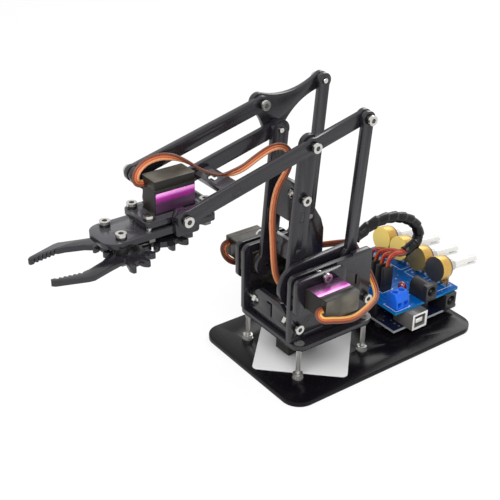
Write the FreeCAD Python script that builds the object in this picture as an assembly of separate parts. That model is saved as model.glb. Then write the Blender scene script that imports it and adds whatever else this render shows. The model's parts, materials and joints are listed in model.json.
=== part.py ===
import FreeCAD, Part
import math
import os

os.makedirs("parts", exist_ok=True)
V = FreeCAD.Vector

# Frame: millimetres, +X ahead over the gripper, +Y to the near side, +Z up.
# The origin is on the turning axis of the turret, at the underside of the base plate.

# Sheet stock and fits
T = 3.0
GAP = 0.3
PITCH = T + GAP
RUN = 0.05
EASE = 0.10
SLOT = 0.05

# M3 fasteners
SCREW_R = 1.5
HEAD_R = 2.75
HEAD_H = 3.0
SOCKET_AF = 2.5
SOCKET_DEPTH = 1.4
NUT_AF = 5.5
NUT_H = 2.4
FLANGE_NUT_R = 3.2
FLANGE_NUT_H = 0.8

# Base
BASE_X0 = -100.0
BASE_X1 = 42.0
BASE_Y0 = -46.5
BASE_Y1 = 44.5
BASE_CORNER = 11.0
SHEET_T = 0.4
SHEET_CENTRE = (3.7, 3.6)
SHEET_L = 54.4
SHEET_W = 49.0
SHEET_TURN = 136.0
STAND = 24.0
FIXED_HALF = 28.5
FIXED_CORNER = 6.5
FIXED_Z0 = 23.5
FIXED_Z1 = FIXED_Z0 + T

# Nine gram servo, measured from the shaft axis and the shaft side of its flange
SERVO_FLANGE_T = 2.5
SERVO_FLANGE_L = 32.5
SERVO_W = 12.2
SERVO_SHORT = 6.0
SERVO_LONG = 16.8
SERVO_BELOW = 18.7
SERVO_BELOW_LONG = 22.9
SERVO_ABOVE = 4.0
SERVO_HUB_R = 5.9
SERVO_HUB_H = 3.1
SERVO_IDLER_R = 2.7
SERVO_IDLER_X = 6.4
SERVO_HOLE_R = 1.1
SERVO_HOLE_PITCH = 27.9
SERVO_MID = 0.5 * (SERVO_LONG - SERVO_SHORT)
SERVO_HUB_TOP = SERVO_ABOVE + SERVO_HUB_H
SPLINE_R = 2.4
CASE_EASE = 0.3

# Turret
TURRET_IN = 19.6
TURRET_OUT = TURRET_IN + T
TURRET_Z0 = 27.2
TURRET_FLOOR = 27.9
TURRET_TOP = 69.0
TURRET_REAR_TOP = 70.4
TURRET_X0 = -27.5
TURRET_X1 = 30.3
FLOOR_HALF = 23.2
CROSS_FRONT_X = 23.5
CROSS_REAR_X = -26.2
CROSS_Z0 = 28.0
CROSS_SCREW_Z = {"front": 36.3, "rear": 38.6}
CROSS_EDGE_Z = {"front": 40.5, "rear": 43.2}
CROSS_NUT_Y = 14.0
COLLAR_HALF_L = 17.0
COLLAR_HALF_H = 11.2
COLLAR_SCREW_DX = -7.4
COLLAR_SCREW_DZ = 9.1
HORN_T = 2.2

# Linkage
ARM_L = 80.0
FORE_L = 80.0
CRANK_L = 35.0
ARM_LEAN = math.radians(4.6)
FORE_DIP = math.radians(14.0)
ELBOW = (12.4, 137.6)
TOP_OFFSET = (10.0, 15.5)
REAR_OFFSET = (-31.7, 20.1)
NEAR_IN = 8.9
FAR_IN = -12.2
ARM_W = 10.6
ARM_ELBOW_R = 5.6
ARM_HUB_R = 8.0
FORE_W = 7.8
LINK_W = 7.0
EYE_R = 4.6
LINK_EYE_R = 4.2
LEVER_HUB_R = 13.0
LEVER_EYE_R = 6.2

# Gripper
GRIP_Y = -3.3
GRIP_Z0 = 109.8
GRIP_SERVO_X = 93.5
GRIP_HALF_W = 12.2
GRIP_X0 = 68.0
GRIP_X1 = 129.4
JAW_SPREAD = 8.0
JAW_Z0 = 102.1
GEAR_N = 11
GEAR_M = 2.5
GEAR_ADD = 2.1
GEAR_DED = 2.7
GEAR_THIN = 0.60
SMALL_N = 8
SMALL_M = 2.0
SMALL_ADD = 1.4
SMALL_DED = 1.9
SMALL_THIN = 0.60

# Boards
BOARD_X1 = -48.0
BOARD_Y1 = 25.6
BOARD_W = 53.34
BOARD_L = 68.58
BOARD_T = 1.6
BOARD_Z0 = 6.0
SHIELD_Z0 = 18.6
JACK_W = 9.0
JACK_L = 14.2
JACK_H = 10.9
JACK_BORE_R = 3.2
JACK_PIN_R = 1.0
PLUG_X = -61.7
PLUG_Y = (-13.0, -7.92, -2.84, 2.24)
PLUG_W = 7.6
PLUG_H = 16.5
LED_AT = (-66.0, 11.6)
POT_INSET = 12.34
POT_X = BOARD_X1 - BOARD_W + POT_INSET
POT_Z = 32.2
POT_Y0 = 15.4
POT_PITCH = 16.0
POT_N = 4
POT_R = 7.8
POT_CAN = 7.0
POT_WAFER = 1.6
POT_BUSH_R = 3.6
POT_BUSH_L = 7.0
POT_SHAFT_R = 3.0
POT_JOURNAL_R = 2.2
POT_SHAFT_OUT = 20.0
POT_TILT = math.radians(7.0)

# Leads
LEAD_R = 1.3
SLEEVE_R = 3.6
WIRE_R = 1.0


def polar(angle, length):
    return (length * math.cos(angle), length * math.sin(angle))


def plus(p, q):
    return (p[0] + q[0], p[1] + q[1])


def unit(u, v):
    size = math.hypot(u, v)
    return (u / size, v / size)


SHOULDER = plus(ELBOW, (ARM_L * math.sin(ARM_LEAN), -ARM_L * math.cos(ARM_LEAN)))
WRIST = plus(ELBOW, polar(-FORE_DIP, FORE_L))
ROD_TOP = plus(ELBOW, polar(math.pi - FORE_DIP, CRANK_L))
ROD_FOOT = plus(SHOULDER, polar(math.pi - FORE_DIP, CRANK_L))
TOP_REAR = plus(ELBOW, TOP_OFFSET)
TOP_FRONT = plus(WRIST, TOP_OFFSET)
REAR_HEAD = plus(ELBOW, REAR_OFFSET)
REAR_FOOT = plus(SHOULDER, REAR_OFFSET)


def near_layer(k):
    """Inner and outer Y of the k-th plate on the near side of the arm."""
    return (NEAR_IN + k * PITCH, NEAR_IN + k * PITCH + T)


def far_layer(k):
    """Outer and inner Y of the k-th plate on the far side of the arm."""
    return (FAR_IN - k * PITCH - T, FAR_IN - k * PITCH)


def on_xz(y):
    return lambda u, v: V(u, y, v)


def on_xy(z):
    return lambda u, v: V(u, v, z)


def on_yz(x):
    return lambda u, v: V(x, u, v)


def outline(corners, at):
    """Closed wire through corners (u, v, radius), each one rounded by its own radius."""
    count = len(corners)
    ends = []
    for i in range(count):
        u, v, r = corners[i]
        before = corners[i - 1]
        after = corners[(i + 1) % count]
        d1 = unit(before[0] - u, before[1] - v)
        d2 = unit(after[0] - u, after[1] - v)
        if r <= 0:
            ends.append(((u, v), None, (u, v)))
            continue
        half = 0.5 * math.acos(d1[0] * d2[0] + d1[1] * d2[1])
        run = r / math.tan(half)
        axis = unit(d1[0] + d2[0], d1[1] + d2[1])
        back = r / math.sin(half) - r
        p = (u + d1[0] * run, v + d1[1] * run)
        m = (u + axis[0] * back, v + axis[1] * back)
        q = (u + d2[0] * run, v + d2[1] * run)
        ends.append((p, m, q))
    edges = []
    for i in range(count):
        p, m, q = ends[i]
        if m is not None:
            edges.append(Part.Arc(at(*p), at(*m), at(*q)).toShape())
        following = ends[(i + 1) % count][0]
        if math.hypot(following[0] - q[0], following[1] - q[1]) > 1e-6:
            edges.append(Part.makeLine(at(*q), at(*following)))
    return Part.Wire(edges)


def plate_xz(corners, y0, y1):
    return Part.Face(outline(corners, on_xz(y0))).extrude(V(0, y1 - y0, 0))


def plate_xy(corners, z0, z1):
    return Part.Face(outline(corners, on_xy(z0))).extrude(V(0, 0, z1 - z0))


def plate_yz(corners, x0, x1):
    return Part.Face(outline(corners, on_yz(x0))).extrude(V(x1 - x0, 0, 0))


def rectangle(u0, v0, u1, v1, r):
    return [(u0, v0, r), (u1, v0, r), (u1, v1, r), (u0, v1, r)]


def box(x0, x1, y0, y1, z0, z1):
    return Part.makeBox(x1 - x0, y1 - y0, z1 - z0, V(x0, y0, z0))


def rod_y(p, r, y0, y1):
    return Part.makeCylinder(r, y1 - y0, V(p[0], y0, p[1]), V(0, 1, 0))


def rod_z(p, r, z0, z1):
    return Part.makeCylinder(r, z1 - z0, V(p[0], p[1], z0), V(0, 0, 1))


def joined(shapes):
    whole = shapes[0].multiFuse(shapes[1:]).removeSplitter()
    return whole


def without(shape, tools):
    return shape.cut(tools).removeSplitter()


def bar(p, q, width, y0, y1):
    """Straight strip between two pivots, lying in one layer."""
    d = unit(q[0] - p[0], q[1] - p[1])
    n = (-d[1] * 0.5 * width, d[0] * 0.5 * width)
    corners = [plus(p, n), plus(q, n), (q[0] - n[0], q[1] - n[1]), (p[0] - n[0], p[1] - n[1])]
    return plate_xz([(c[0], c[1], 0) for c in corners], y0, y1)


def link(p, q, width, rp, rq, layer):
    """Strip with a round eye at each end."""
    y0, y1 = layer
    return joined([bar(p, q, width, y0, y1), rod_y(p, rp, y0, y1), rod_y(q, rq, y0, y1)])


def hole_y(p, r, layer):
    return rod_y(p, r, layer[0] - 1.0, layer[1] + 1.0)


def along(p, q, s, aside=0.0):
    """Point s along the line from p to q, moved aside to its left."""
    d = unit(q[0] - p[0], q[1] - p[1])
    return (p[0] + d[0] * s - d[1] * aside, p[1] + d[1] * s + d[0] * aside)


def strip_slot(p, q, s0, s1, thick, y0, y1):
    """Prism along the line p to q from s0 to s1, centred on it."""
    return bar(along(p, q, s0), along(p, q, s1), thick, y0, y1)


def hex_prism(centre, axis, af, height):
    """Hexagonal prism from centre along axis, with the given width across flats."""
    axis = V(axis).normalize()
    side = V(0, 0, 1) if abs(axis.z) < 0.9 else V(1, 0, 0)
    side = (side - axis * side.dot(axis)).normalize()
    other = axis.cross(side)
    r = af / math.sqrt(3.0)
    points = []
    for i in range(7):
        a = math.radians(60 * i)
        points.append(centre + side * (r * math.cos(a)) + other * (r * math.sin(a)))
    return Part.Face(Part.makePolygon(points)).extrude(axis * height)


def cap_screw(seat, direction, length):
    """Socket head cap screw: seat is where the head rests, direction is where the shank goes."""
    direction = V(direction).normalize()
    head = Part.makeCylinder(HEAD_R, HEAD_H, seat - direction * HEAD_H, direction)
    shank = Part.makeCylinder(SCREW_R, length, seat, direction)
    socket = hex_prism(seat - direction * HEAD_H, direction, SOCKET_AF, SOCKET_DEPTH)
    return head.fuse(shank).removeSplitter().cut(socket)


def nut(seat, direction):
    """Plain hexagon nut standing on seat."""
    direction = V(direction).normalize()
    blank = hex_prism(seat, direction, NUT_AF, NUT_H)
    return blank.cut(Part.makeCylinder(SCREW_R + RUN, NUT_H + 2.0, seat - direction, direction))


def flange_nut(x, y, z):
    collar = rod_z((x, y), FLANGE_NUT_R, z, z + FLANGE_NUT_H)
    body = hex_prism(V(x, y, z + FLANGE_NUT_H), V(0, 0, 1), NUT_AF, NUT_H)
    return collar.fuse(body).removeSplitter().cut(rod_z((x, y), SCREW_R + RUN, z - 1.0, z + 6.0))


def seated(shape, origin, x_axis, z_axis):
    """Shape moved from its own axes to the given origin and axes."""
    z_axis = V(z_axis).normalize()
    x_axis = V(x_axis).normalize()
    y_axis = z_axis.cross(x_axis)
    m = FreeCAD.Matrix(
        x_axis.x, y_axis.x, z_axis.x, origin.x,
        x_axis.y, y_axis.y, z_axis.y, origin.y,
        x_axis.z, y_axis.z, z_axis.z, origin.z,
        0, 0, 0, 1)
    moved = shape.copy()
    moved.Placement = FreeCAD.Placement(m)
    return moved


def servo(spline_h, below):
    """Servo with its shaft up: case, flange with slotted ears, gear humps and spline."""
    half = 0.5 * SERVO_W
    case = plate_xy(rectangle(-SERVO_SHORT, -half, SERVO_LONG, half, 0.6), -below, SERVO_ABOVE)
    mid = SERVO_MID
    ears = plate_xy(
        rectangle(mid - 0.5 * SERVO_FLANGE_L, -half, mid + 0.5 * SERVO_FLANGE_L, half, 1.0),
        -SERVO_FLANGE_T, 0.0)
    hub = rod_z((0, 0), SERVO_HUB_R, 0.0, SERVO_HUB_TOP)
    idler = rod_z((SERVO_IDLER_X, 0), SERVO_IDLER_R, 0.0, SERVO_HUB_TOP)
    spline = rod_z((0, 0), SPLINE_R, 0.0, SERVO_HUB_TOP + spline_h)
    body = joined([case, ears, hub, idler, spline])
    tools = [rod_z((0, 0), 0.9, SERVO_HUB_TOP, SERVO_HUB_TOP + spline_h + 1.0)]
    for side in (-1, 1):
        x = mid + side * 0.5 * SERVO_HOLE_PITCH
        tools.append(rod_z((x, 0), SERVO_HOLE_R, -SERVO_FLANGE_T - 1.0, 1.0))
        x_out = mid + side * (0.5 * SERVO_FLANGE_L + 1.0)
        tools.append(box(min(x, x_out), max(x, x_out), -0.6, 0.6, -SERVO_FLANGE_T - 1.0, 1.0))
    for seam in (-below + 4.4, SERVO_ABOVE - 3.0):
        ring = box(-SERVO_SHORT - 1, SERVO_LONG + 1, -half - 1, half + 1, seam, seam + 0.25)
        core = plate_xy(
            rectangle(-SERVO_SHORT + 0.25, -half + 0.25, SERVO_LONG - 0.25, half - 0.25, 0.4),
            seam - 1.0, seam + 1.0)
        tools.append(ring.cut(core))
    return without(body, tools)


def collar(length, width, hole_at, hole_l, hole_w, thick):
    """Flat frame that clamps a servo's ears, centred on its own origin."""
    blank = plate_xy(rectangle(-0.5 * length, -0.5 * width, 0.5 * length, 0.5 * width, 3.0), 0.0, thick)
    window = box(hole_at - 0.5 * hole_l, hole_at + 0.5 * hole_l, -0.5 * hole_w, 0.5 * hole_w, -1.0, thick + 1.0)
    return blank.cut(window)


def tube(points, r):
    """Cord through the points: straight runs joined by tangent arcs."""
    route = [V(*p) for p in points]
    edges = []
    last = route[0]
    radii = []
    for i in range(1, len(route) - 1):
        a = (route[i - 1] - route[i])
        b = (route[i + 1] - route[i])
        reach = 0.45 * min(a.Length, b.Length)
        a = a.normalize()
        b = b.normalize()
        half = 0.5 * math.acos(max(-1.0, min(1.0, a.dot(b))))
        bend = reach * math.tan(half)
        radii.append(bend)
        p = route[i] + a * reach
        q = route[i] + b * reach
        axis = (a + b).normalize()
        m = route[i] + axis * (bend / math.sin(half) - bend)
        edges.append(Part.LineSegment(last, p).toShape())
        edges.append(Part.Arc(p, m, q).toShape())
        last = q
    edges.append(Part.LineSegment(last, route[-1]).toShape())
    path = Part.Wire(edges)
    start = (route[1] - route[0]).normalize()
    ring = Part.Wire([Part.Circle(route[0], start, r).toShape()])
    cord = path.makePipeShell([ring], True, False)
    expected = math.pi * r * r * path.Length
    print("  cord length %.1f least radius %.1f volume ratio %.3f" % (
        path.Length, min(radii), cord.Volume / expected))
    return cord


def gear_points(n, m, add, ded, thin, first, last, tooth_at):
    """Polar points of the teeth whose centres lie between two angles in degrees."""
    pitch_r = 0.5 * n * m
    base_r = pitch_r * math.cos(math.radians(20.0))
    inv20 = math.tan(math.radians(20.0)) - math.radians(20.0)
    half_pitch = 0.5 * math.pi / n - 0.5 * thin / pitch_r
    root_r = pitch_r - ded
    out_r = pitch_r + add

    def half_angle(r):
        if r <= base_r:
            return half_pitch + inv20
        a = math.acos(base_r / r)
        return half_pitch + inv20 - (math.tan(a) - a)

    radii = [root_r, max(root_r + 0.4, base_r), pitch_r, 0.5 * (pitch_r + out_r), out_r]
    points = []
    step = 360.0 / n
    k = math.ceil((first - tooth_at) / step - 1e-6)
    while tooth_at + k * step <= last + 1e-6:
        centre = math.radians(tooth_at + k * step)
        for r in radii:
            points.append((r, centre - half_angle(r)))
        for r in reversed(radii):
            points.append((r, centre + half_angle(r)))
        k += 1
    return points


def polar_plate(centre, points, z0, z1):
    flat = []
    for r, a in points:
        flat.append((centre[0] + r * math.cos(a), centre[1] + r * math.sin(a), 0))
    return plate_xy(flat, z0, z1)


TOTAL = {}


def save(name, *shapes):
    solids = []
    for shape in shapes:
        solids.extend(shape.Solids)
    for solid in solids:
        if not solid.isValid():
            raise RuntimeError("broken solid in " + name)
    body = solids[0] if len(solids) == 1 else Part.makeCompound(solids)
    body.exportStep("parts/%s.step" % name)
    TOTAL[name] = len(solids)
    b = body.BoundBox
    print("%-18s %2d  x %.1f %.1f  y %.1f %.1f  z %.1f %.1f" % (
        name, len(solids), b.XMin, b.XMax, b.YMin, b.YMax, b.ZMin, b.ZMax))


# Base group

STANDS = [(sx * STAND, sy * STAND) for sx in (-1, 1) for sy in (-1, 1)]
POST_AT = [
    (BOARD_X1 - 2.54, BOARD_Y1 - 15.24),
    (BOARD_X1 - 45.72, BOARD_Y1 - 66.04),
    (BOARD_X1 - 17.78, BOARD_Y1 - 66.04),
]
POST_R = 1.45


def base_group():
    plate = plate_xy(rectangle(BASE_X0, BASE_Y0, BASE_X1, BASE_Y1, BASE_CORNER), 0.0, T)
    tools = [rod_z(p, SCREW_R + EASE, -1.0, T + 1.0) for p in STANDS]
    tools += [rod_z(p, POST_R + EASE, -1.0, T + 1.0) for p in POST_AT]
    save("base_plate", without(plate, tools))

    sheet = plate_xy(
        rectangle(-0.5 * SHEET_L, -0.5 * SHEET_W, 0.5 * SHEET_L, 0.5 * SHEET_W, 3.0), 0.0, SHEET_T)
    sheet.rotate(V(0, 0, 0), V(0, 0, 1), SHEET_TURN)
    sheet.translate(V(SHEET_CENTRE[0], SHEET_CENTRE[1], T))
    around = [rod_z(p, FLANGE_NUT_R + EASE, T - 1.0, T + 2.0) for p in STANDS]
    save("base_sheet", sheet.cut(around))

    sink_r = 3.0
    sink_h = sink_r - SCREW_R
    screws = []
    nuts = []
    sinks = []
    for x, y in STANDS:
        cone = Part.makeCone(SCREW_R, sink_r, sink_h, V(x, y, FIXED_Z1 - sink_h), V(0, 0, 1))
        shank = rod_z((x, y), SCREW_R, 0.3, FIXED_Z1 - sink_h)
        socket = hex_prism(V(x, y, FIXED_Z1), V(0, 0, -1), 2.0, 1.0)
        screws.append(joined([cone, shank]).cut(socket))
        nuts.append(flange_nut(x, y, T))
        sinks.append(Part.makeCone(
            SCREW_R + EASE, sink_r + EASE, sink_h, V(x, y, FIXED_Z1 - sink_h), V(0, 0, 1)))
        sinks.append(rod_z((x, y), SCREW_R + EASE, FIXED_Z0 - 1.0, FIXED_Z1 - sink_h + 0.01))
        sinks.append(rod_z((x, y), sink_r + EASE, FIXED_Z1 - 0.001, FIXED_Z1 + 1.0))
    save("base_fasteners", *(screws + nuts))

    fixed = plate_xy(
        rectangle(-FIXED_HALF, -FIXED_HALF, FIXED_HALF, FIXED_HALF, FIXED_CORNER), FIXED_Z0, FIXED_Z1)
    half = 0.5 * SERVO_W + CASE_EASE
    window = box(-SERVO_SHORT - CASE_EASE, SERVO_LONG + CASE_EASE, -half, half, FIXED_Z0 - 1, FIXED_Z1 + 1)
    ears = [rod_z((SERVO_MID + s * 0.5 * SERVO_HOLE_PITCH, 0), SERVO_HOLE_R, FIXED_Z0 - 1, FIXED_Z1 + 1)
            for s in (-1, 1)]
    save("fixed_plate", without(fixed, sinks + [window] + ears))

    save("base_servo", seated(servo(2.8, SERVO_BELOW), V(0, 0, FIXED_Z0), V(1, 0, 0), V(0, 0, 1)))


def board_outline():
    x1 = BOARD_X1
    x0 = BOARD_X1 - BOARD_W
    y1 = BOARD_Y1
    y0 = BOARD_Y1 - BOARD_L
    return [
        (x1, y1, 0.5), (x0, y1, 0.5), (x0, y0 + 4.0, 0), (x0 + 2.5, y0, 0),
        (x1 - 14.0, y0, 0), (x1 - 11.5, y0 + 2.5, 0), (x1 - 1.5, y0 + 2.5, 0), (x1, y0 + 4.0, 0)]


def dc_jack():
    """Barrel jack with its mouth along +Y, mouth face centred on the origin above the board."""
    half = 0.5 * JACK_W
    block = box(-half, half, -3.4, 0.0, 0.0, JACK_H)
    low = box(-half, half, -JACK_L, -3.4, 0.0, 6.4)
    drum = Part.makeCylinder(half, JACK_L - 3.4, V(0, -JACK_L, 6.4), V(0, 1, 0))
    body = joined([block, low, drum])
    bore = Part.makeCylinder(JACK_BORE_R, 9.5, V(0, -9.5, 6.4), V(0, 1, 0))
    pin = Part.makeCylinder(JACK_PIN_R, 9.2, V(0, -9.9, 6.4), V(0, 1, 0))
    return joined([body.cut(bore), pin])


def board_group():
    top = BOARD_Z0 + BOARD_T
    board = plate_xy(board_outline(), BOARD_Z0, top)
    save("controller_board", without(board, [rod_z(p, POST_R + EASE, 0.0, 10.0) for p in POST_AT]))

    posts = []
    for p in POST_AT:
        posts.append(joined([
            rod_z(p, 2.7, T, BOARD_Z0),
            rod_z(p, POST_R, 0.4, top + 0.2),
            rod_z(p, 2.1, top, top + 1.2)]))
    save("board_posts", *posts)

    ux = BOARD_X1 - 14.85
    uy = BOARD_Y1 + 6.2
    shell = box(ux - 6.05, ux + 6.05, uy - 16.3, uy, top, top + 10.9)
    mouth = box(ux - 4.3, ux + 4.3, uy - 9.0, uy + 1.0, top + 1.5, top + 9.3)
    tongue = box(ux - 2.8, ux + 2.8, uy - 10.0, uy - 0.8, top + 3.8, top + 7.0)
    save("usb_socket", joined([shell.cut(mouth), tongue]))

    jack = dc_jack()
    low = seated(jack, V(BOARD_X1 - 45.7, BOARD_Y1 + 1.8, top), V(1, 0, 0), V(0, 0, 1))
    high = seated(jack, V(-75.3, BOARD_Y1 + 1.8, SHIELD_Z0 + BOARD_T), V(1, 0, 0), V(0, 0, 1))
    save("power_jacks", low, high)

    rows = []
    for x, y0, y1 in ((BOARD_X1 - 2.54, -39.0, 7.2), (BOARD_X1 - 50.8, -39.0, -1.4)):
        rows.append(box(x - 1.25, x + 1.25, y0, y1, top, SHIELD_Z0))
    save("board_headers", *rows)

    shield_top = SHIELD_Z0 + BOARD_T
    shield = plate_xy(
        rectangle(BOARD_X1 - BOARD_W, BOARD_Y1 - BOARD_L, BOARD_X1, BOARD_Y1, 1.0), SHIELD_Z0, shield_top)
    save("shield_board", shield)

    bases = []
    plugs = []
    for y in PLUG_Y:
        x0 = PLUG_X - 0.5 * PLUG_W
        x1 = PLUG_X + 0.5 * PLUG_W
        bases.append(box(x0, x1, y - 1.25, y + 1.25, shield_top, shield_top + 2.5))
        plugs.append(box(x0, x1, y - 1.25, y + 1.25, shield_top + 2.5, shield_top + PLUG_H))
    save("servo_header", *bases)
    save("servo_plugs", *plugs)

    tx0 = -60.2
    tx1 = -50.0
    profile = [(14.5, shield_top, 0), (24.0, shield_top, 0), (24.0, shield_top + 6.0, 0),
               (21.6, shield_top + 10.0, 0), (16.6, shield_top + 10.0, 0), (14.5, shield_top + 6.0, 0)]
    block = plate_yz(profile, tx0, tx1)
    tools = []
    for k in (-1, 1):
        x = 0.5 * (tx0 + tx1) + k * 2.54
        tools.append(rod_z((x, 19.1), 1.8, shield_top + 7.0, shield_top + 11.0))
        tools.append(box(x - 1.5, x + 1.5, 20.5, 25.0, shield_top + 1.4, shield_top + 4.6))
    save("terminal_block", without(block, tools))

    led = joined([
        rod_z(LED_AT, 2.9, shield_top, shield_top + 1.0),
        rod_z(LED_AT, 2.5, shield_top + 1.0, shield_top + 6.2),
        Part.makeSphere(2.5, V(LED_AT[0], LED_AT[1], shield_top + 6.2))])
    save("status_led", led)

    axis = V(-math.cos(POT_TILT), 0, -math.sin(POT_TILT))
    bodies = []
    front = POT_CAN + POT_WAFER
    for i in range(POT_N):
        y = POT_Y0 - i * POT_PITCH
        can = rod_z((0, 0), POT_R, 0.0, POT_CAN)
        rim = rod_z((0, 0), POT_R - 0.5, POT_CAN, front)
        foot = box(-9.6, 0.0, -5.6, 5.6, POT_CAN, front)
        bush = rod_z((0, 0), POT_BUSH_R, front, front + POT_BUSH_L)
        body = joined([can, rim, foot, bush])
        bore = rod_z((0, 0), POT_JOURNAL_R + RUN, front - 1.0, front + POT_BUSH_L + 1.0)
        pot = seated(body.cut(bore), V(POT_X, y, POT_Z), V(-math.sin(POT_TILT), 0, math.cos(POT_TILT)), axis)
        legs = []
        for k in (-1, 0, 1):
            lx = POT_X - POT_CAN - 0.9
            legs.append(box(lx - 0.6, lx + 0.6, y + 5.0 * k - 0.6, y + 5.0 * k + 0.6, shield_top, POT_Z - 8.0))
        bodies.append(joined([pot] + legs))
        mouth = front + POT_BUSH_L
        shaft = joined([
            rod_z((0, 0), POT_JOURNAL_R, front - 0.8, mouth + GAP),
            rod_z((0, 0), POT_SHAFT_R, mouth + GAP, mouth + GAP + POT_SHAFT_OUT)])
        end = mouth + GAP + POT_SHAFT_OUT
        split = box(-0.5, 0.5, -4.0, 4.0, end - 9.0, end + 1.0)
        turned = seated(shaft.cut(split), V(POT_X, y, POT_Z),
                        V(-math.sin(POT_TILT), 0, math.cos(POT_TILT)), axis)
        save("pot_shaft_%d" % (i + 1), turned)
    save("pots", *bodies)


# Turret group

def cross_outline(edge):
    """Cross plate seen along X: raised middle, shoulders dropping to the sides, two low tabs."""
    i = TURRET_IN
    o = TURRET_OUT
    return [
        (-i, CROSS_Z0, 0), (i, CROSS_Z0, 0), (i, 30.0, 0), (o, 30.0, 0), (o, 33.2, 0), (i, 33.2, 0),
        (i, edge, 2.0), (14.5, edge, 3.0), (9.0, 45.0, 3.0), (-11.0, 45.0, 3.0), (-16.5, edge, 3.0),
        (-i, edge, 2.0), (-i, 33.2, 0), (-o, 33.2, 0), (-o, 30.0, 0), (-i, 30.0, 0)]


def cross_plate(x0, end):
    x1 = x0 + T
    screw_z = CROSS_SCREW_Z[end]
    plate = plate_yz(cross_outline(CROSS_EDGE_Z[end]), x0, x1)
    tools = []
    for s in (-1, 1):
        y0 = min(s * 11.0, s * (TURRET_IN + 1.0))
        y1 = max(s * 11.0, s * (TURRET_IN + 1.0))
        tools.append(box(x0 - 1, x1 + 1, y0, y1, screw_z - SCREW_R - EASE, screw_z + SCREW_R + EASE))
        ny = s * CROSS_NUT_Y
        tools.append(box(x0 - 1, x1 + 1, ny - 1.3, ny + 1.3, screw_z - 3.3, screw_z + 3.3))
    tools.append(box(x0 - 1, x1 + 1, 0.4, 1.9, 32.2, 41.3))
    tools.append(box(x0 - 1, x1 + 1, -3.0, 1.9, 39.8, 41.3))
    return without(plate, tools)


def side_plate(corners, y0, y1, rear_slot):
    plate = plate_xz(corners, y0, y1)
    a = y0 - 1.0
    b = y1 + 1.0
    tools = []
    for x0, x1 in ((6.0, 20.0), (-20.0, -6.0)):
        tools.append(box(x0 - SLOT, x1 + SLOT, a, b, TURRET_Z0 - 1.0, TURRET_FLOOR + T + SLOT))
    for x0, z in ((CROSS_FRONT_X, CROSS_SCREW_Z["front"]), (CROSS_REAR_X, CROSS_SCREW_Z["rear"])):
        tools.append(box(x0 - SLOT, x0 + T + SLOT, a, b, 30.0 - SLOT, 33.2 + SLOT))
        tools.append(rod_y((x0 + 0.5 * T, z), SCREW_R + EASE, a, b))
    sx, sz = SHOULDER
    half = 0.5 * SERVO_W + CASE_EASE
    tools.append(box(sx - SERVO_LONG - CASE_EASE, sx + SERVO_SHORT + CASE_EASE, a, b, sz - half, sz + half))
    for s in (-1, 1):
        tools.append(rod_y((sx + COLLAR_SCREW_DX, sz + s * COLLAR_SCREW_DZ), SCREW_R + EASE, a, b))
    if rear_slot:
        tools.append(box(-17.3, -15.7, a, b, 49.8, 56.5))
    else:
        tools.append(rod_y(REAR_FOOT, SCREW_R + EASE, a, b))
    return without(plate, tools)


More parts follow.
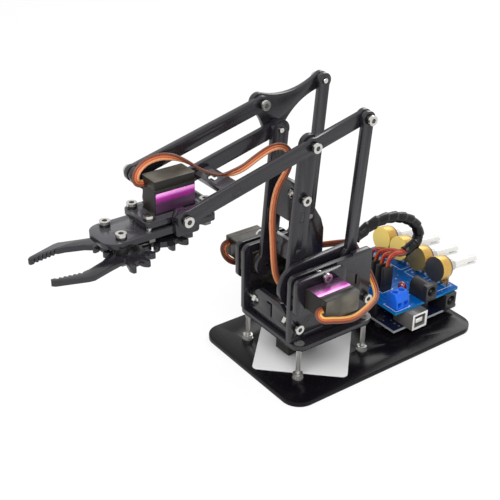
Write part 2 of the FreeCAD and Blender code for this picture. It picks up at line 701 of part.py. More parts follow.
def turret_group():
    hub = rod_z((0, 0), SERVO_HUB_R + CASE_EASE, 0.0, 60.0)
    idler = rod_z((SERVO_IDLER_X, 0), SERVO_IDLER_R + 0.6, 0.0, 60.0)
    floor = plate_xy(rectangle(-FLOOR_HALF, -TURRET_IN, FLOOR_HALF, TURRET_IN, 0), TURRET_FLOOR, TURRET_FLOOR + T)
    tabs = []
    for x0, x1 in ((6.0, 20.0), (-20.0, -6.0)):
        tabs.append(box(x0, x1, -TURRET_OUT, TURRET_OUT, TURRET_FLOOR, TURRET_FLOOR + T))
    ring = rod_z((0, 0), SERVO_IDLER_X + SERVO_IDLER_R + 0.6, 0.0, 60.0)
    save("turret_plate", without(joined([floor] + tabs), [hub, ring]))

    near = [(TURRET_X1, TURRET_Z0, 2.0), (TURRET_X1, TURRET_TOP, 4.0), (-13.2, TURRET_TOP, 0),
            (-13.2, TURRET_REAR_TOP, 0), (TURRET_X0, TURRET_REAR_TOP, 3.0), (TURRET_X0, TURRET_Z0, 2.0)]
    save("side_plate_near", side_plate(near, TURRET_IN, TURRET_OUT, True))
    far = [(TURRET_X1, TURRET_Z0, 2.0), (TURRET_X1, TURRET_TOP, 4.0), (-3.2, TURRET_TOP, 2.5),
           (-3.2, 85.6, 5.5), (-16.2, 85.6, 5.0), (-25.2, 71.4, 4.0), (TURRET_X0, 64.0, 4.0),
           (TURRET_X0, TURRET_Z0, 2.0)]
    save("side_plate_far", side_plate(far, -TURRET_OUT, -TURRET_IN, False))
    save("cross_plate_front", cross_plate(CROSS_FRONT_X, "front"))
    save("cross_plate_rear", cross_plate(CROSS_REAR_X, "rear"))

    sx, sz = SHOULDER
    save("near_servo", seated(servo(1.6, SERVO_BELOW_LONG), V(sx, TURRET_OUT, sz), V(-1, 0, 0), V(0, -1, 0)))
    save("far_servo", seated(servo(2.2, SERVO_BELOW_LONG), V(sx, -TURRET_OUT, sz), V(-1, 0, 0), V(0, 1, 0)))

    frame = collar(2 * COLLAR_HALF_L, 2 * COLLAR_HALF_H, 0.0,
                   SERVO_SHORT + SERVO_LONG + 2 * CASE_EASE, SERVO_W + 2 * CASE_EASE, T)
    screw_x = COLLAR_SCREW_DX + SERVO_MID
    for s in (-1, 1):
        frame = frame.cut(rod_z((screw_x, s * COLLAR_SCREW_DZ), SCREW_R + EASE, -1.0, T + 1.0))
    mid_x = sx - SERVO_MID
    seat_y = TURRET_OUT + SERVO_FLANGE_T
    frames = [
        seated(frame, V(mid_x, seat_y + T, sz), V(1, 0, 0), V(0, -1, 0)),
        seated(frame, V(mid_x, -seat_y, sz), V(1, 0, 0), V(0, -1, 0))]
    save("servo_collars", *frames)

    screws = []
    nuts = []
    for side in (-1, 1):
        inward = V(0, -side, 0)
        for x0, z in ((CROSS_FRONT_X, CROSS_SCREW_Z["front"]), (CROSS_REAR_X, CROSS_SCREW_Z["rear"])):
            x = x0 + 0.5 * T
            screws.append(cap_screw(V(x, side * TURRET_OUT, z), inward, 11.2))
            nuts.append(nut(V(x, side * (CROSS_NUT_Y + 0.5 * NUT_H), z), inward))
        for s in (-1, 1):
            x = sx + COLLAR_SCREW_DX
            z = sz + s * COLLAR_SCREW_DZ
            screws.append(cap_screw(V(x, side * (seat_y + T), z), inward, seat_y + T - TURRET_IN - 0.2))
    link_in = far_layer(1)[1]
    screws.append(cap_screw(
        V(REAR_FOOT[0], -TURRET_OUT, REAR_FOOT[1]), V(0, 1, 0), TURRET_OUT + link_in + 0.8))
    spacer_y1 = far_layer(1)[0] - GAP
    spacer = rod_y(REAR_FOOT, 3.5, -TURRET_IN, spacer_y1)
    spacer = spacer.cut(rod_y(REAR_FOOT, SCREW_R + EASE, -TURRET_IN - 1, spacer_y1 + 1))
    save("turret_fasteners", *(screws + nuts + [spacer]))

    horn_z = TURRET_FLOOR + T
    arms = [rod_z((0, 0), 3.6, horn_z, horn_z + HORN_T + 1.4)]
    for a in (0.0, 90.0):
        arm = plate_xy(rectangle(-14.0, -2.4, 14.0, 2.4, 2.3), horn_z, horn_z + HORN_T)
        arm.rotate(V(0, 0, 0), V(0, 0, 1), a)
        arms.append(arm)
    horn = joined(arms)
    tools = [rod_z((0, 0), SPLINE_R + RUN, horn_z - 1.0, horn_z + 2.7),
             rod_z((0, 0), 1.1, horn_z, horn_z + 6.0)]
    save("base_horn", without(horn, tools))


# Arm group

BRACE_S0 = 24.0
BRACE_S1 = 69.0
BRACE_SCREW_S = 30.6
FORE_BRACE_S = 49.8
FORE_BRACE_H = -0.8


def arm_group():
    a = ELBOW
    s = SHOULDER
    near = near_layer(0)
    far = far_layer(0)
    tab_runs = ((38.0, 44.0), (60.0, 66.0))
    slots = []
    for s0, s1 in tab_runs:
        slots.append(strip_slot(a, s, s0 - SLOT, s1 + SLOT, T + 2 * SLOT, -40.0, 40.0))
    c = along(a, s, BRACE_SCREW_S)

    plate = link(s, a, ARM_W, ARM_HUB_R, ARM_ELBOW_R, near)
    tools = slots + [hole_y(a, SCREW_R + EASE, near), hole_y(s, SCREW_R + EASE, near),
                     hole_y(c, SCREW_R + EASE, near)]
    save("upper_arm_near", without(plate, tools))

    plate = link(s, a, ARM_W, ARM_HUB_R, ARM_ELBOW_R, far)
    tools = slots + [hole_y(a, SCREW_R + EASE, far), rod_y(s, SPLINE_R + RUN, far[0] - 1, far[0] + 2.4),
                     hole_y(s, 1.1, far)]
    save("upper_arm_far", without(plate, tools))

    web = strip_slot(a, s, BRACE_S0, BRACE_S1, T, far[1], near[0])
    parts = [web]
    for s0, s1 in tab_runs:
        parts.append(strip_slot(a, s, s0, s1, T, far[0], near[1]))
    brace = joined(parts)
    window = strip_slot(a, s, 46.5, 57.5, T + 4.0, -8.5, 5.0)
    screw_way = strip_slot(a, s, BRACE_SCREW_S - SCREW_R - EASE, BRACE_SCREW_S + SCREW_R + EASE, T + 4.0, 0.0, 12.5)
    nut_way = strip_slot(a, s, BRACE_SCREW_S - 3.3, BRACE_SCREW_S + 3.3, T + 4.0, 2.0, 4.6)
    save("arm_brace", without(brace, [window, screw_way, nut_way]))

    seat = near[1]
    screws = [
        cap_screw(V(a[0], near_layer(1)[1] + GAP, a[1]), V(0, -1, 0), near_layer(1)[1] + GAP - near[0] + NUT_H + 0.6),
        cap_screw(V(a[0], far_layer(2)[0] - GAP, a[1]), V(0, 1, 0), far[1] - far_layer(2)[0] + GAP + 0.8),
        cap_screw(V(c[0], seat, c[1]), V(0, -1, 0), 11.0),
        cap_screw(V(s[0], near[0], s[1]), V(0, 1, 0), PITCH + 1.4)]
    nuts = [nut(V(a[0], near[0], a[1]), V(0, -1, 0)),
            nut(V(c[0], 3.3 + 0.5 * NUT_H, c[1]), V(0, -1, 0))]
    save("arm_fasteners", *(screws + nuts))


def concave(p, q, rp, rq, sag):
    """End points and middle of a curved edge that joins two round ends on their left side."""
    d = unit(q[0] - p[0], q[1] - p[1])
    n = (-d[1], d[0])
    lean = 0.30
    u = unit(n[0] + lean * d[0], n[1] + lean * d[1])
    w = unit(n[0] - lean * d[0], n[1] - lean * d[1])
    start = (p[0] + rp * u[0], p[1] + rp * u[1])
    end = (q[0] + rq * w[0], q[1] + rq * w[1])
    r = 0.5 * (rp + rq) - sag
    middle = (0.5 * (p[0] + q[0]) + n[0] * r, 0.5 * (p[1] + q[1]) + n[1] * r)
    return start, middle, end


def triangle_plate(layer):
    """Three-eyed plate with hollow curved edges between the eyes."""
    eyes = [(TOP_REAR, 5.0), (ELBOW, 6.2), (REAR_HEAD, 4.4)]
    sags = (1.2, 4.8, 5.0)
    curves = []
    for i in range(3):
        p, rp = eyes[i]
        q, rq = eyes[(i + 1) % 3]
        start, middle, end = concave(p, q, rp, rq, sags[i])
        curves.append((start, middle, end))
    at = on_xz(layer[0])
    edges = []
    for i in range(3):
        start, middle, end = curves[i]
        edges.append(Part.Arc(at(*start), at(*middle), at(*end)).toShape())
        centre, r = eyes[(i + 1) % 3]
        following = curves[(i + 1) % 3][0]
        u = unit(end[0] - centre[0], end[1] - centre[1])
        w = unit(following[0] - centre[0], following[1] - centre[1])
        out = unit(u[0] + w[0], u[1] + w[1])
        third = eyes[i][0]
        fourth = eyes[(i + 2) % 3][0]
        middle_in = (0.5 * (third[0] + fourth[0]) - centre[0], 0.5 * (third[1] + fourth[1]) - centre[1])
        if out[0] * middle_in[0] + out[1] * middle_in[1] > 0:
            out = (-out[0], -out[1])
        top = (centre[0] + r * out[0], centre[1] + r * out[1])
        edges.append(Part.Arc(at(*end), at(*top), at(*following)).toShape())
    face = Part.Face(Part.Wire(edges))
    return face.extrude(V(0, layer[1] - layer[0], 0))


def linkage_group():
    one = near_layer(1)
    two = near_layer(2)
    mid = far_layer(1)
    out = far_layer(2)

    plate = triangle_plate(out)
    tools = [hole_y(ELBOW, SCREW_R + RUN, out), hole_y(TOP_REAR, SCREW_R + EASE, out),
             hole_y(REAR_HEAD, SCREW_R + EASE, out)]
    save("triangle", without(plate, tools))
    save("triangle_bolts",
         cap_screw(V(TOP_REAR[0], mid[1] + GAP, TOP_REAR[1]), V(0, -1, 0), mid[1] + GAP - out[0] + 0.8),
         cap_screw(V(REAR_HEAD[0], out[0], REAR_HEAD[1]), V(0, 1, 0), mid[1] - out[0] + 0.8))

    p = along(ELBOW, WRIST, 0.0, FORE_BRACE_H)
    q = along(ELBOW, WRIST, FORE_L, FORE_BRACE_H)
    slot = strip_slot(p, q, FORE_BRACE_S - 2.6, FORE_BRACE_S + 2.6, T + 2 * SLOT, -40.0, 40.0)
    plate = joined([link(WRIST, ROD_TOP, FORE_W, EYE_R, EYE_R, one), rod_y(ELBOW, EYE_R, one[0], one[1])])
    tools = [slot, hole_y(ELBOW, SCREW_R + RUN, one), hole_y(WRIST, SCREW_R + EASE, one),
             hole_y(ROD_TOP, SCREW_R + EASE, one)]
    save("forearm_near", without(plate, tools))
    plate = link(WRIST, ELBOW, FORE_W, EYE_R, EYE_R, mid)
    tools = [slot, hole_y(ELBOW, SCREW_R + RUN, mid), hole_y(WRIST, SCREW_R + EASE, mid)]
    save("forearm_far", without(plate, tools))

    web = strip_slot(p, q, FORE_BRACE_S - 4.9, FORE_BRACE_S + 4.9, T, mid[1], one[0])
    tab = strip_slot(p, q, FORE_BRACE_S - 2.55, FORE_BRACE_S + 2.55, T, mid[0], one[1])
    well = along(p, q, FORE_BRACE_S)
    way = Part.makeBox(3.2, 9.0, 12.0, V(-1.6, -10.5, -6.0))
    pocket = Part.makeBox(5.6, 2.6, 12.0, V(-2.8, -7.2, -6.0))
    cuts = []
    for tool in (way, pocket):
        tool.rotate(V(0, 0, 0), V(0, 1, 0), math.degrees(FORE_DIP))
        tool.translate(V(well[0], 0, well[1]))
        cuts.append(tool)
    save("forearm_brace", without(joined([web, tab]), cuts))
    save("forearm_bolts",
         cap_screw(V(WRIST[0], one[1], WRIST[1]), V(0, -1, 0), T + PITCH + 0.8),
         cap_screw(V(WRIST[0], mid[0], WRIST[1]), V(0, 1, 0), T + PITCH - 0.2),
         cap_screw(V(ROD_TOP[0], two[1] + GAP, ROD_TOP[1]), V(0, -1, 0), two[1] + GAP - one[0] + 0.8))

    plate = link(TOP_REAR, TOP_FRONT, FORE_W, LINK_EYE_R, LINK_EYE_R, mid)
    save("top_link", without(plate, [hole_y(TOP_REAR, SCREW_R + RUN, mid),
                                     hole_y(TOP_FRONT, SCREW_R + 2 * RUN, mid)]))
    plate = link(REAR_FOOT, REAR_HEAD, LINK_W, LINK_EYE_R, LINK_EYE_R, mid)
    save("rear_link", without(plate, [hole_y(REAR_FOOT, SCREW_R + RUN, mid),
                                      hole_y(REAR_HEAD, SCREW_R + 2 * RUN, mid)]))

    plate = hull_link(SHOULDER, ROD_FOOT, LEVER_HUB_R, LEVER_EYE_R, one)
    tools = [hole_y(SHOULDER, SCREW_R + RUN, one),
             rod_y(SHOULDER, SPLINE_R + RUN, one[0] + 1.6, one[1] + 1.0),
             hole_y(ROD_FOOT, SCREW_R + RUN, one)]
    save("lever", without(plate, tools))
    save("lever_pin", cap_screw(V(ROD_FOOT[0], one[0] - GAP, ROD_FOOT[1]), V(0, 1, 0), two[1] - one[0] + GAP - 0.2))

    plate = link(ROD_FOOT, ROD_TOP, LINK_W, LEVER_EYE_R, LINK_EYE_R, two)
    save("push_rod", without(plate, [hole_y(ROD_FOOT, SCREW_R + RUN, two),
                                     hole_y(ROD_TOP, SCREW_R + 2 * RUN, two)]))


def hull_link(p, q, rp, rq, layer):
    """Tapered plate: the outline is the band stretched round two discs."""
    d = unit(q[0] - p[0], q[1] - p[1])
    n = (-d[1], d[0])
    length = math.hypot(q[0] - p[0], q[1] - p[1])
    c = (rp - rq) / length
    s = math.sqrt(1.0 - c * c)
    at = on_xz(layer[0])
    left = (d[0] * c + n[0] * s, d[1] * c + n[1] * s)
    right = (d[0] * c - n[0] * s, d[1] * c - n[1] * s)

    def rim(centre, r, way):
        return at(centre[0] + r * way[0], centre[1] + r * way[1])

    back = (-d[0], -d[1])
    edges = [
        Part.makeLine(rim(p, rp, left), rim(q, rq, left)),
        Part.Arc(rim(q, rq, left), rim(q, rq, d), rim(q, rq, right)).toShape(),
        Part.makeLine(rim(q, rq, right), rim(p, rp, right)),
        Part.Arc(rim(p, rp, right), rim(p, rp, back), rim(p, rp, left)).toShape()]
    return Part.Face(Part.Wire(edges)).extrude(V(0, layer[1] - layer[0], 0))


# Gripper group

GRIP_Z1 = GRIP_Z0 + T
COLLAR_Z0 = GRIP_Z1 + SERVO_FLANGE_T
COLLAR_Z1 = COLLAR_Z0 + T
GRIP_MID_X = GRIP_SERVO_X - SERVO_MID
JAW_Z1 = JAW_Z0 + T
JAW_X = GRIP_SERVO_X + math.sqrt((GEAR_N * GEAR_M) ** 2 - JAW_SPREAD ** 2)
PAIR_FRONT_X = 104.6
PAIR_REAR_X = 72.4


def jaw_arm(side):
    """Bent finger with a saw-toothed inner edge; side is +1 for the near jaw."""
    def at(x, off):
        return (x, GRIP_Y + side * off, 0.0)

    saw = []
    x0, o0 = 156.4, 11.0
    x1, o1 = 143.0, 13.2
    count = 6
    for i in range(count):
        f = i / count
        g = (i + 0.5) / count
        saw.append(at(x0 + (x1 - x0) * f, o0 + (o1 - o0) * f))
        saw.append(at(x0 + (x1 - x0) * g, o0 + (o1 - o0) * g + 1.1))
    saw.append(at(x1, o1))
    points = [at(JAW_X + 1.0, 13.2), at(129.5, 15.6), at(140.2, 19.0), at(142.8, 18.7),
              at(157.4, 13.6), at(158.8, 12.2), at(158.2, 10.8)]
    points += saw
    points += [at(139.6, 12.6), at(131.0, 9.4), at(JAW_X + 3.0, 3.4)]
    if side < 0:
        points = list(reversed(points))
    return plate_xy(points, JAW_Z0, JAW_Z1)


def gripper_group():
    gx = GRIP_SERVO_X
    half = 0.5 * SERVO_W + CASE_EASE
    inner = GRIP_Y + GRIP_HALF_W
    outer = GRIP_Y - GRIP_HALF_W
    near = near_layer(0)
    far = far_layer(0)
    wx, wz = WRIST
    ix, iz = TOP_FRONT
    ear_x0 = wx - 10.5
    ear_x1 = wx + 5.0
    plate = plate_xy(
        [(GRIP_X0, far[1], 3.0), (ear_x1 + GAP, far[1], 0), (ear_x1 + GAP, outer, 2.0), (GRIP_X1, outer, 8.0),
         (GRIP_X1, inner, 8.0), (GRIP_X0, inner, 3.0)],
        GRIP_Z0, GRIP_Z1)
    tab_runs = {"near": ((82.0, 89.0),), "far": ((82.0, 91.0),)}
    tabs = []
    for x0, x1 in tab_runs["near"]:
        tabs.append(box(x0, x1, inner - 1.0, near[1], GRIP_Z0, GRIP_Z1))
    for x0, x1 in tab_runs["far"]:
        tabs.append(box(x0, x1, far[0], far[1] + 1.0, GRIP_Z0, GRIP_Z1))
    window = box(gx - SERVO_LONG - CASE_EASE, gx + SERVO_SHORT + CASE_EASE, GRIP_Y - half, GRIP_Y + half,
                 GRIP_Z0 - 1, GRIP_Z1 + 1)
    screw_at = []
    for x in (PAIR_FRONT_X, PAIR_REAR_X):
        for s in (-1, 1):
            screw_at.append((x, GRIP_Y + s * JAW_SPREAD))
    pivots = [(JAW_X, GRIP_Y + s * JAW_SPREAD) for s in (1, -1)]
    tools = [window] + [rod_z(p, SCREW_R + EASE, GRIP_Z0 - 1, GRIP_Z1 + 1) for p in screw_at + pivots]
    save("gripper_plate", without(joined([plate] + tabs), tools))

    foot = GRIP_Z0 - 1.2
    slots = {}
    for end in ("near", "far"):
        slots[end] = []
        for x0, x1 in tab_runs[end]:
            slots[end].append(box(x0 - SLOT, x1 + SLOT, -40.0, 40.0, GRIP_Z0 - SLOT, GRIP_Z1 + SLOT))
    ear = plate_xz([(wx - 9.5, foot, 1.5), (wx + 3.6, foot, 1.5), (wx + 4.4, wz + 0.5, 2.5),
                    (wx + 2.8, wz + 4.4, 2.5), (wx - 2.8, wz + 4.4, 2.5), (wx - 5.4, wz - 0.5, 3.0),
                    (wx - 9.5, GRIP_Z1 + 1.6, 1.5)], near[0], near[1])
    save("bracket_near", without(ear, slots["near"] + [hole_y(WRIST, SCREW_R + RUN, near)]))
    tall = plate_xz([(ear_x0, foot, 2.0), (ear_x1, foot, 2.0), (ear_x1, iz - 10.0, 4.0), (ix + 2.6, iz - 3.4, 1.5),
                     (ix + 4.2, iz + 0.4, 2.6), (ix + 1.4, iz + 4.4, 3.0), (ix - 3.8, iz + 3.2, 3.0),
                     (wx - 4.0, wz + 5.6, 4.0), (ear_x0, GRIP_Z1 + 2.2, 3.0)], far[0], far[1])
    save("bracket_far", without(tall, slots["far"] + [hole_y(WRIST, SCREW_R + RUN, far),
                                                      hole_y(TOP_FRONT, SCREW_R + EASE, far)]))

    frame = collar(40.0, 2 * GRIP_HALF_W - 1.6, 0.0, SERVO_SHORT + SERVO_LONG + 2 * CASE_EASE, 2 * half, T)
    frame = frame.cut([rod_z((x - GRIP_MID_X, y - GRIP_Y), SCREW_R + EASE, -1.0, T + 1.0) for x, y in screw_at])
    frame = frame.cut(box(ear_x0 - GAP - GRIP_MID_X, ear_x1 + GAP - GRIP_MID_X, -30.0, far[1] + GAP - GRIP_Y, -1.0, T + 1.0))
    save("gripper_collar", seated(frame, V(GRIP_MID_X, GRIP_Y, COLLAR_Z0), V(1, 0, 0), V(0, 0, 1)))
    save("gripper_servo", seated(servo(2.3, SERVO_BELOW_LONG), V(gx, GRIP_Y, GRIP_Z1), V(-1, 0, 0), V(0, 0, -1)))

    down = V(0, 0, -1)
    screws = []
    nuts = []
    spacers = []
    for x, y in screw_at:
        screws.append(cap_screw(V(x, y, COLLAR_Z1), down, COLLAR_Z1 - GRIP_Z0 + NUT_H + 0.5))
        nuts.append(nut(V(x, y, GRIP_Z0), down))
    for x, y in pivots:
        screws.append(cap_screw(V(x, y, GRIP_Z1), down, GRIP_Z1 - JAW_Z0 + GAP + NUT_H + 0.5))
        nuts.append(nut(V(x, y, JAW_Z0 - GAP), down))
        tall = rod_z((x, y), 3.0, JAW_Z1 + GAP, GRIP_Z0)
        spacers.append(tall.cut(rod_z((x, y), SCREW_R + EASE, JAW_Z1, GRIP_Z0 + 1)))
    back = far_layer(1)[0] - GAP
    screws.append(cap_screw(V(ix, back, iz), V(0, 1, 0), far[1] - back - 0.2))
    save("gripper_fasteners", *(screws + nuts))
    save("jaw_spacers", *spacers)

    mesh = math.degrees(math.atan2(-JAW_SPREAD, gx - JAW_X))
    points = gear_points(GEAR_N, GEAR_M, GEAR_ADD, GEAR_DED, GEAR_THIN, mesh + 180.0,
                         mesh + 180.0 + 359.0, mesh + 180.0)
    wheel = polar_plate((gx, GRIP_Y), points, JAW_Z0, JAW_Z1)
    tools = [rod_z((gx, GRIP_Y), SPLINE_R + RUN, JAW_Z1 - 2.5, JAW_Z1 + 1.0),
             rod_z((gx, GRIP_Y), 1.1, JAW_Z0 - 1.0, JAW_Z1)]
    save("drive_gear", without(wheel, tools))

    half_step = 180.0 / GEAR_N
    mesh = mesh % 360.0
    near_c = pivots[0]
    big = gear_points(GEAR_N, GEAR_M, GEAR_ADD, GEAR_DED, GEAR_THIN, 70.0, 228.0, mesh + half_step)
    small = gear_points(SMALL_N, SMALL_M, SMALL_ADD, SMALL_DED, SMALL_THIN, 250.0, 330.0, 270.0)
    hub = rod_z(near_c, 6.1, JAW_Z0, JAW_Z1)
    body = joined([polar_plate(near_c, [(0.0, 0.0)] + big, JAW_Z0, JAW_Z1),
                   polar_plate(near_c, [(0.0, 0.0)] + small, JAW_Z0, JAW_Z1), hub, jaw_arm(1)])
    save("jaw_near", without(body, [rod_z(near_c, SCREW_R + RUN, JAW_Z0 - 1, JAW_Z1 + 1)]))

    far_c = pivots[1]
    small = gear_points(SMALL_N, SMALL_M, SMALL_ADD, SMALL_DED, SMALL_THIN, 20.0, 120.0, 67.5)
    hub = rod_z(far_c, 6.1, JAW_Z0, JAW_Z1)
    body = joined([polar_plate(far_c, [(0.0, 0.0)] + small, JAW_Z0, JAW_Z1), hub, jaw_arm(-1)])
    save("jaw_far", without(body, [rod_z(far_c, SCREW_R + RUN, JAW_Z0 - 1, JAW_Z1 + 1)]))


# Leads

SLEEVE_ROUTE = [(-30.0, 5.0, 67.2), (-38.0, 5.0, 71.6), (-51.3, 5.0, 74.1), (-66.0, 5.0, 71.0),
                (-78.4, 5.0, 63.6), (-83.6, 5.0, 54.0), (-80.6, 5.0, 47.2), (-73.0, 4.0, 44.6)]
END_X = SHOULDER[0] + SERVO_SHORT
END_Z = SHOULDER[1]
NEAR_ROUTE = [(END_X, 42.6, END_Z + 0.4), (END_X + 2.4, 42.6, END_Z + 0.4), (END_X + 4.15, 44.0, END_Z - 0.6),
              (END_X + 4.15, 46.2, END_Z - 2.0), (END_X + 2.2, 47.5, END_Z - 3.0),
              (END_X - 2.0, 47.5, END_Z - 4.2), (END_X - 9.4, 47.5, END_Z - 7.0),
              (END_X - 19.0, 47.2, END_Z - 9.4), (END_X - 30.4, 43.6, END_Z - 9.8), (-14.0, 39.0, 46.4),
              (-21.6, 34.2, 44.0), (-28.4, 28.0, 42.6), (-32.8, 20.2, 44.8), (-33.4, 12.0, 52.2),
              (-30.4, 5.6, 61.6)]
FAR_ROUTE = [(END_X, -42.4, END_Z + 2.8), (END_X + 2.4, -42.4, END_Z + 2.8), (END_X + 4.15, -42.4, END_Z + 1.05),
             (END_X + 4.15, -42.3, END_Z - 2.2), (END_X + 2.4, -41.9, END_Z - 6.6),
             (END_X - 1.8, -41.5, END_Z - 10.8), (END_X - 8.4, -41.3, END_Z - 12.9),
             (END_X - 19.8, -40.8, END_Z - 13.4), (END_X - 32.8, -38.8, END_Z - 12.8), (-20.0, -33.6, 46.6),
             (-29.4, -24.0, 50.0), (-33.4, -12.6, 55.4), (-30.6, -1.6, 61.6)]
GRIP_ROUTE = [(99.55, -7.6, 131.6), (101.95, -7.6, 131.6), (103.7, -7.7, 133.35), (103.7, -7.9, 136.4),
              (101.4, -8.2, 139.6), (96.2, -8.6, 142.2), (87.6, -8.0, 143.0), (77.4, -6.6, 139.0),
              (67.6, -4.0, 131.0), (59.4, 1.0, 128.2), (50.6, 4.8, 130.6), (41.0, 5.8, 136.0),
              (30.6, 5.0, 138.8), (21.6, 3.8, 136.0), (17.2, 2.6, 129.0), (18.0, 1.2, 120.4),
              (21.8, -2.0, 111.0), (23.4, -3.2, 100.0), (23.6, -3.6, 88.6), (22.6, -3.6, 77.0),
              (22.0, -3.4, 65.4), (20.6, -3.0, 54.8), (16.2, -2.2, 46.6), (8.4, -0.8, 42.6),
              (-2.0, 1.0, 42.2), (-12.4, 2.8, 44.8), (-20.6, 4.2, 50.4), (-26.0, 4.8, 58.0),
              (-28.6, 5.0, 66.8)]


def lead_group():
    save("sleeve", tube(SLEEVE_ROUTE, SLEEVE_R))
    save("turret_leads", tube(NEAR_ROUTE, LEAD_R), tube(FAR_ROUTE, LEAD_R))

    save("gripper_lead", tube(GRIP_ROUTE, LEAD_R))

    top = SHIELD_Z0 + BOARD_T + PLUG_H
    end = V(*SLEEVE_ROUTE[-1])
    ahead = (end - V(*SLEEVE_ROUTE[-2])).normalize()
    across = ahead.cross(V(0, 0, 1)).normalize()
    upward = across.cross(ahead)
    wires = []
    for i, y in enumerate(PLUG_Y):
        spread = across * (1.8 - 1.2 * i) + upward * (0.9 if i % 2 else -0.9)
        start = end + spread + ahead * 0.02
        first = start + ahead * 2.6
        second = start + ahead * 6.0 + V(0, 0.35 * (y - start.y), 1.6)
        third = V(PLUG_X - 1.2, 0.75 * y + 0.25 * start.y, 43.4)
        fourth = V(PLUG_X, y, 40.2)
        wires.append(tube([start, first, second, third, fourth, V(PLUG_X, y, top)], WIRE_R))
    save("servo_wires", *wires)


base_group()
board_group()
turret_group()
arm_group()
linkage_group()
gripper_group()
lead_group()
print("nodes", len(TOTAL), "solids", sum(TOTAL.values()))
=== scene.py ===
"""Looks of a small acrylic robot arm, dressed round its frame. Lengths named _MM are millimetres."""

import json
import math

import bmesh
import bpy
from bpy.props import FloatProperty, FloatVectorProperty, PointerProperty
from bpy.types import Operator, Panel, PropertyGroup
from mathutils import Matrix, Vector


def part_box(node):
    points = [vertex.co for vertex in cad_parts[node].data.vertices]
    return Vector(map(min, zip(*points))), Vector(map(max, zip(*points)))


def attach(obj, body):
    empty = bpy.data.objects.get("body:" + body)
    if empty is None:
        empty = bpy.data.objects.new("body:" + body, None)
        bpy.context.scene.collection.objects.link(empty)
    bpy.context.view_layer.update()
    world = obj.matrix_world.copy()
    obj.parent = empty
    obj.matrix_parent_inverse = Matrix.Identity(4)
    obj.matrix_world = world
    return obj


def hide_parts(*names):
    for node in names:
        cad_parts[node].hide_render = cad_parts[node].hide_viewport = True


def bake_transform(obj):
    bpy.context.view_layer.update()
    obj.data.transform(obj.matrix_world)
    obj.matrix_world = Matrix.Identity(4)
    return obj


bl_info = {
    "name": "Acrylic Robot Arm",
    "version": (1, 0, 0),
    "blender": (4, 5, 0),
    "location": "3D View > Sidebar > Robot Arm",
    "description": "Dresses the frame of a small robot arm with its sheet, servos, screws, boards and leads",
    "category": "Object",
}

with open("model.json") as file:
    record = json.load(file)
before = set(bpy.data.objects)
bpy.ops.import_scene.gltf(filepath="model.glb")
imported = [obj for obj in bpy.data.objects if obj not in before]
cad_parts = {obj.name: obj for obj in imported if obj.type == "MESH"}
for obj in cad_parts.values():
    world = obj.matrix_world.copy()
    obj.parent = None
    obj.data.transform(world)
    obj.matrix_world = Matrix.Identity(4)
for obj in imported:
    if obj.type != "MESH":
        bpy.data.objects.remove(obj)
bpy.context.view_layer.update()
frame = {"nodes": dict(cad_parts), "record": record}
BODY_OF = {node: body for body, nodes in frame["record"]["behaviour"]["bodies"].items() for node in nodes}
MM = 0.001
MM_PER_M = 1000.0

# Where the photograph was taken from, and its lens.
CAMERA_AT_MM = (309.11, 363.54, 329.93)
CAMERA_AZIMUTH = math.radians(143.583)
CAMERA_ELEVATION = math.radians(28.985)
CAMERA_ROLL = math.radians(0.785)
CAMERA_LENS_MM = 69.717
CAMERA_SENSOR_MM = 36.0

# A servo's case reaches a short and a long way from the axis of its shaft.
SERVO_W_MM = 12.2
SERVO_SHORT_MM = 6.0
SERVO_LONG_MM = 16.8
SHOULDER_X_MM = 18.816
SHOULDER_Z_MM = 57.858
TURRET_SERVO_BACK_Y_MM = 45.5
GRIP_SERVO_BACK_MM = (93.5, -3.3, 135.7)
# The nuts on the base's posts end below the first height, and the heads start above the second; both carry
# painted shade.
POST_NUT_Z_MM = 6.6
POST_HEAD_Z_MM = 24.8
# Depths on a pot are measured from its back, along its axis.
POT_COUNT = 4
POT_TILT = math.radians(7.0)
POT_AXIS = Vector((-math.cos(POT_TILT), 0.0, -math.sin(POT_TILT)))
POT_BACK_MM = Vector((-89.0, 0.0, 32.2))
POT_PITCH_MM = 16.0
POT_FIRST_Y_MM = 15.4
POT_BACK_DEPTH_MM = 0.12
POT_CAN_DEPTH_MM = 7.0
POT_WAFER_DEPTH_MM = 8.62
PLUG_X_MM = -61.7
PLUG_Y_MM = (-13.0, -7.92, -2.84, 2.24)
PLUG_TOP_MM = 36.7

# Corners nearer than the first are one, and faces that turn by less than the second are flat.
JOINED_WITHIN = 2e-6
FLAT_WITHIN = math.radians(0.4)
# An edge is eased where its faces turn by more than the first, and shows as a crease past the second.
EASED_FROM = math.radians(38.0)
CREASED_FROM = math.radians(32.0)
# Small pieces have finer edges, as shares of a moulded edge.
CONNECTOR_EASE = 0.6
SMALL_EASE = 0.5
SHAFT_EASE = 0.3

# Where the flat side of most leads looks: ahead, to the near side and up.
NEAR_UP = (0.52, 0.70, 0.48)
# All three leads are the same wire: the far lead's darker strands are painted shade, and the pale strands of
# the near and gripper leads are partly painted light.
GRIP_TONES = ("brown", "orange", "salmon")
NEAR_TONES = ("yellow", "orange", "brown")
FAR_TONES_IN_PAINTED_SHADE = ("orange", "brown", "brown")
# Steps of a cord's smooth line between two points of its route.
ROUTE_STEPS = 10
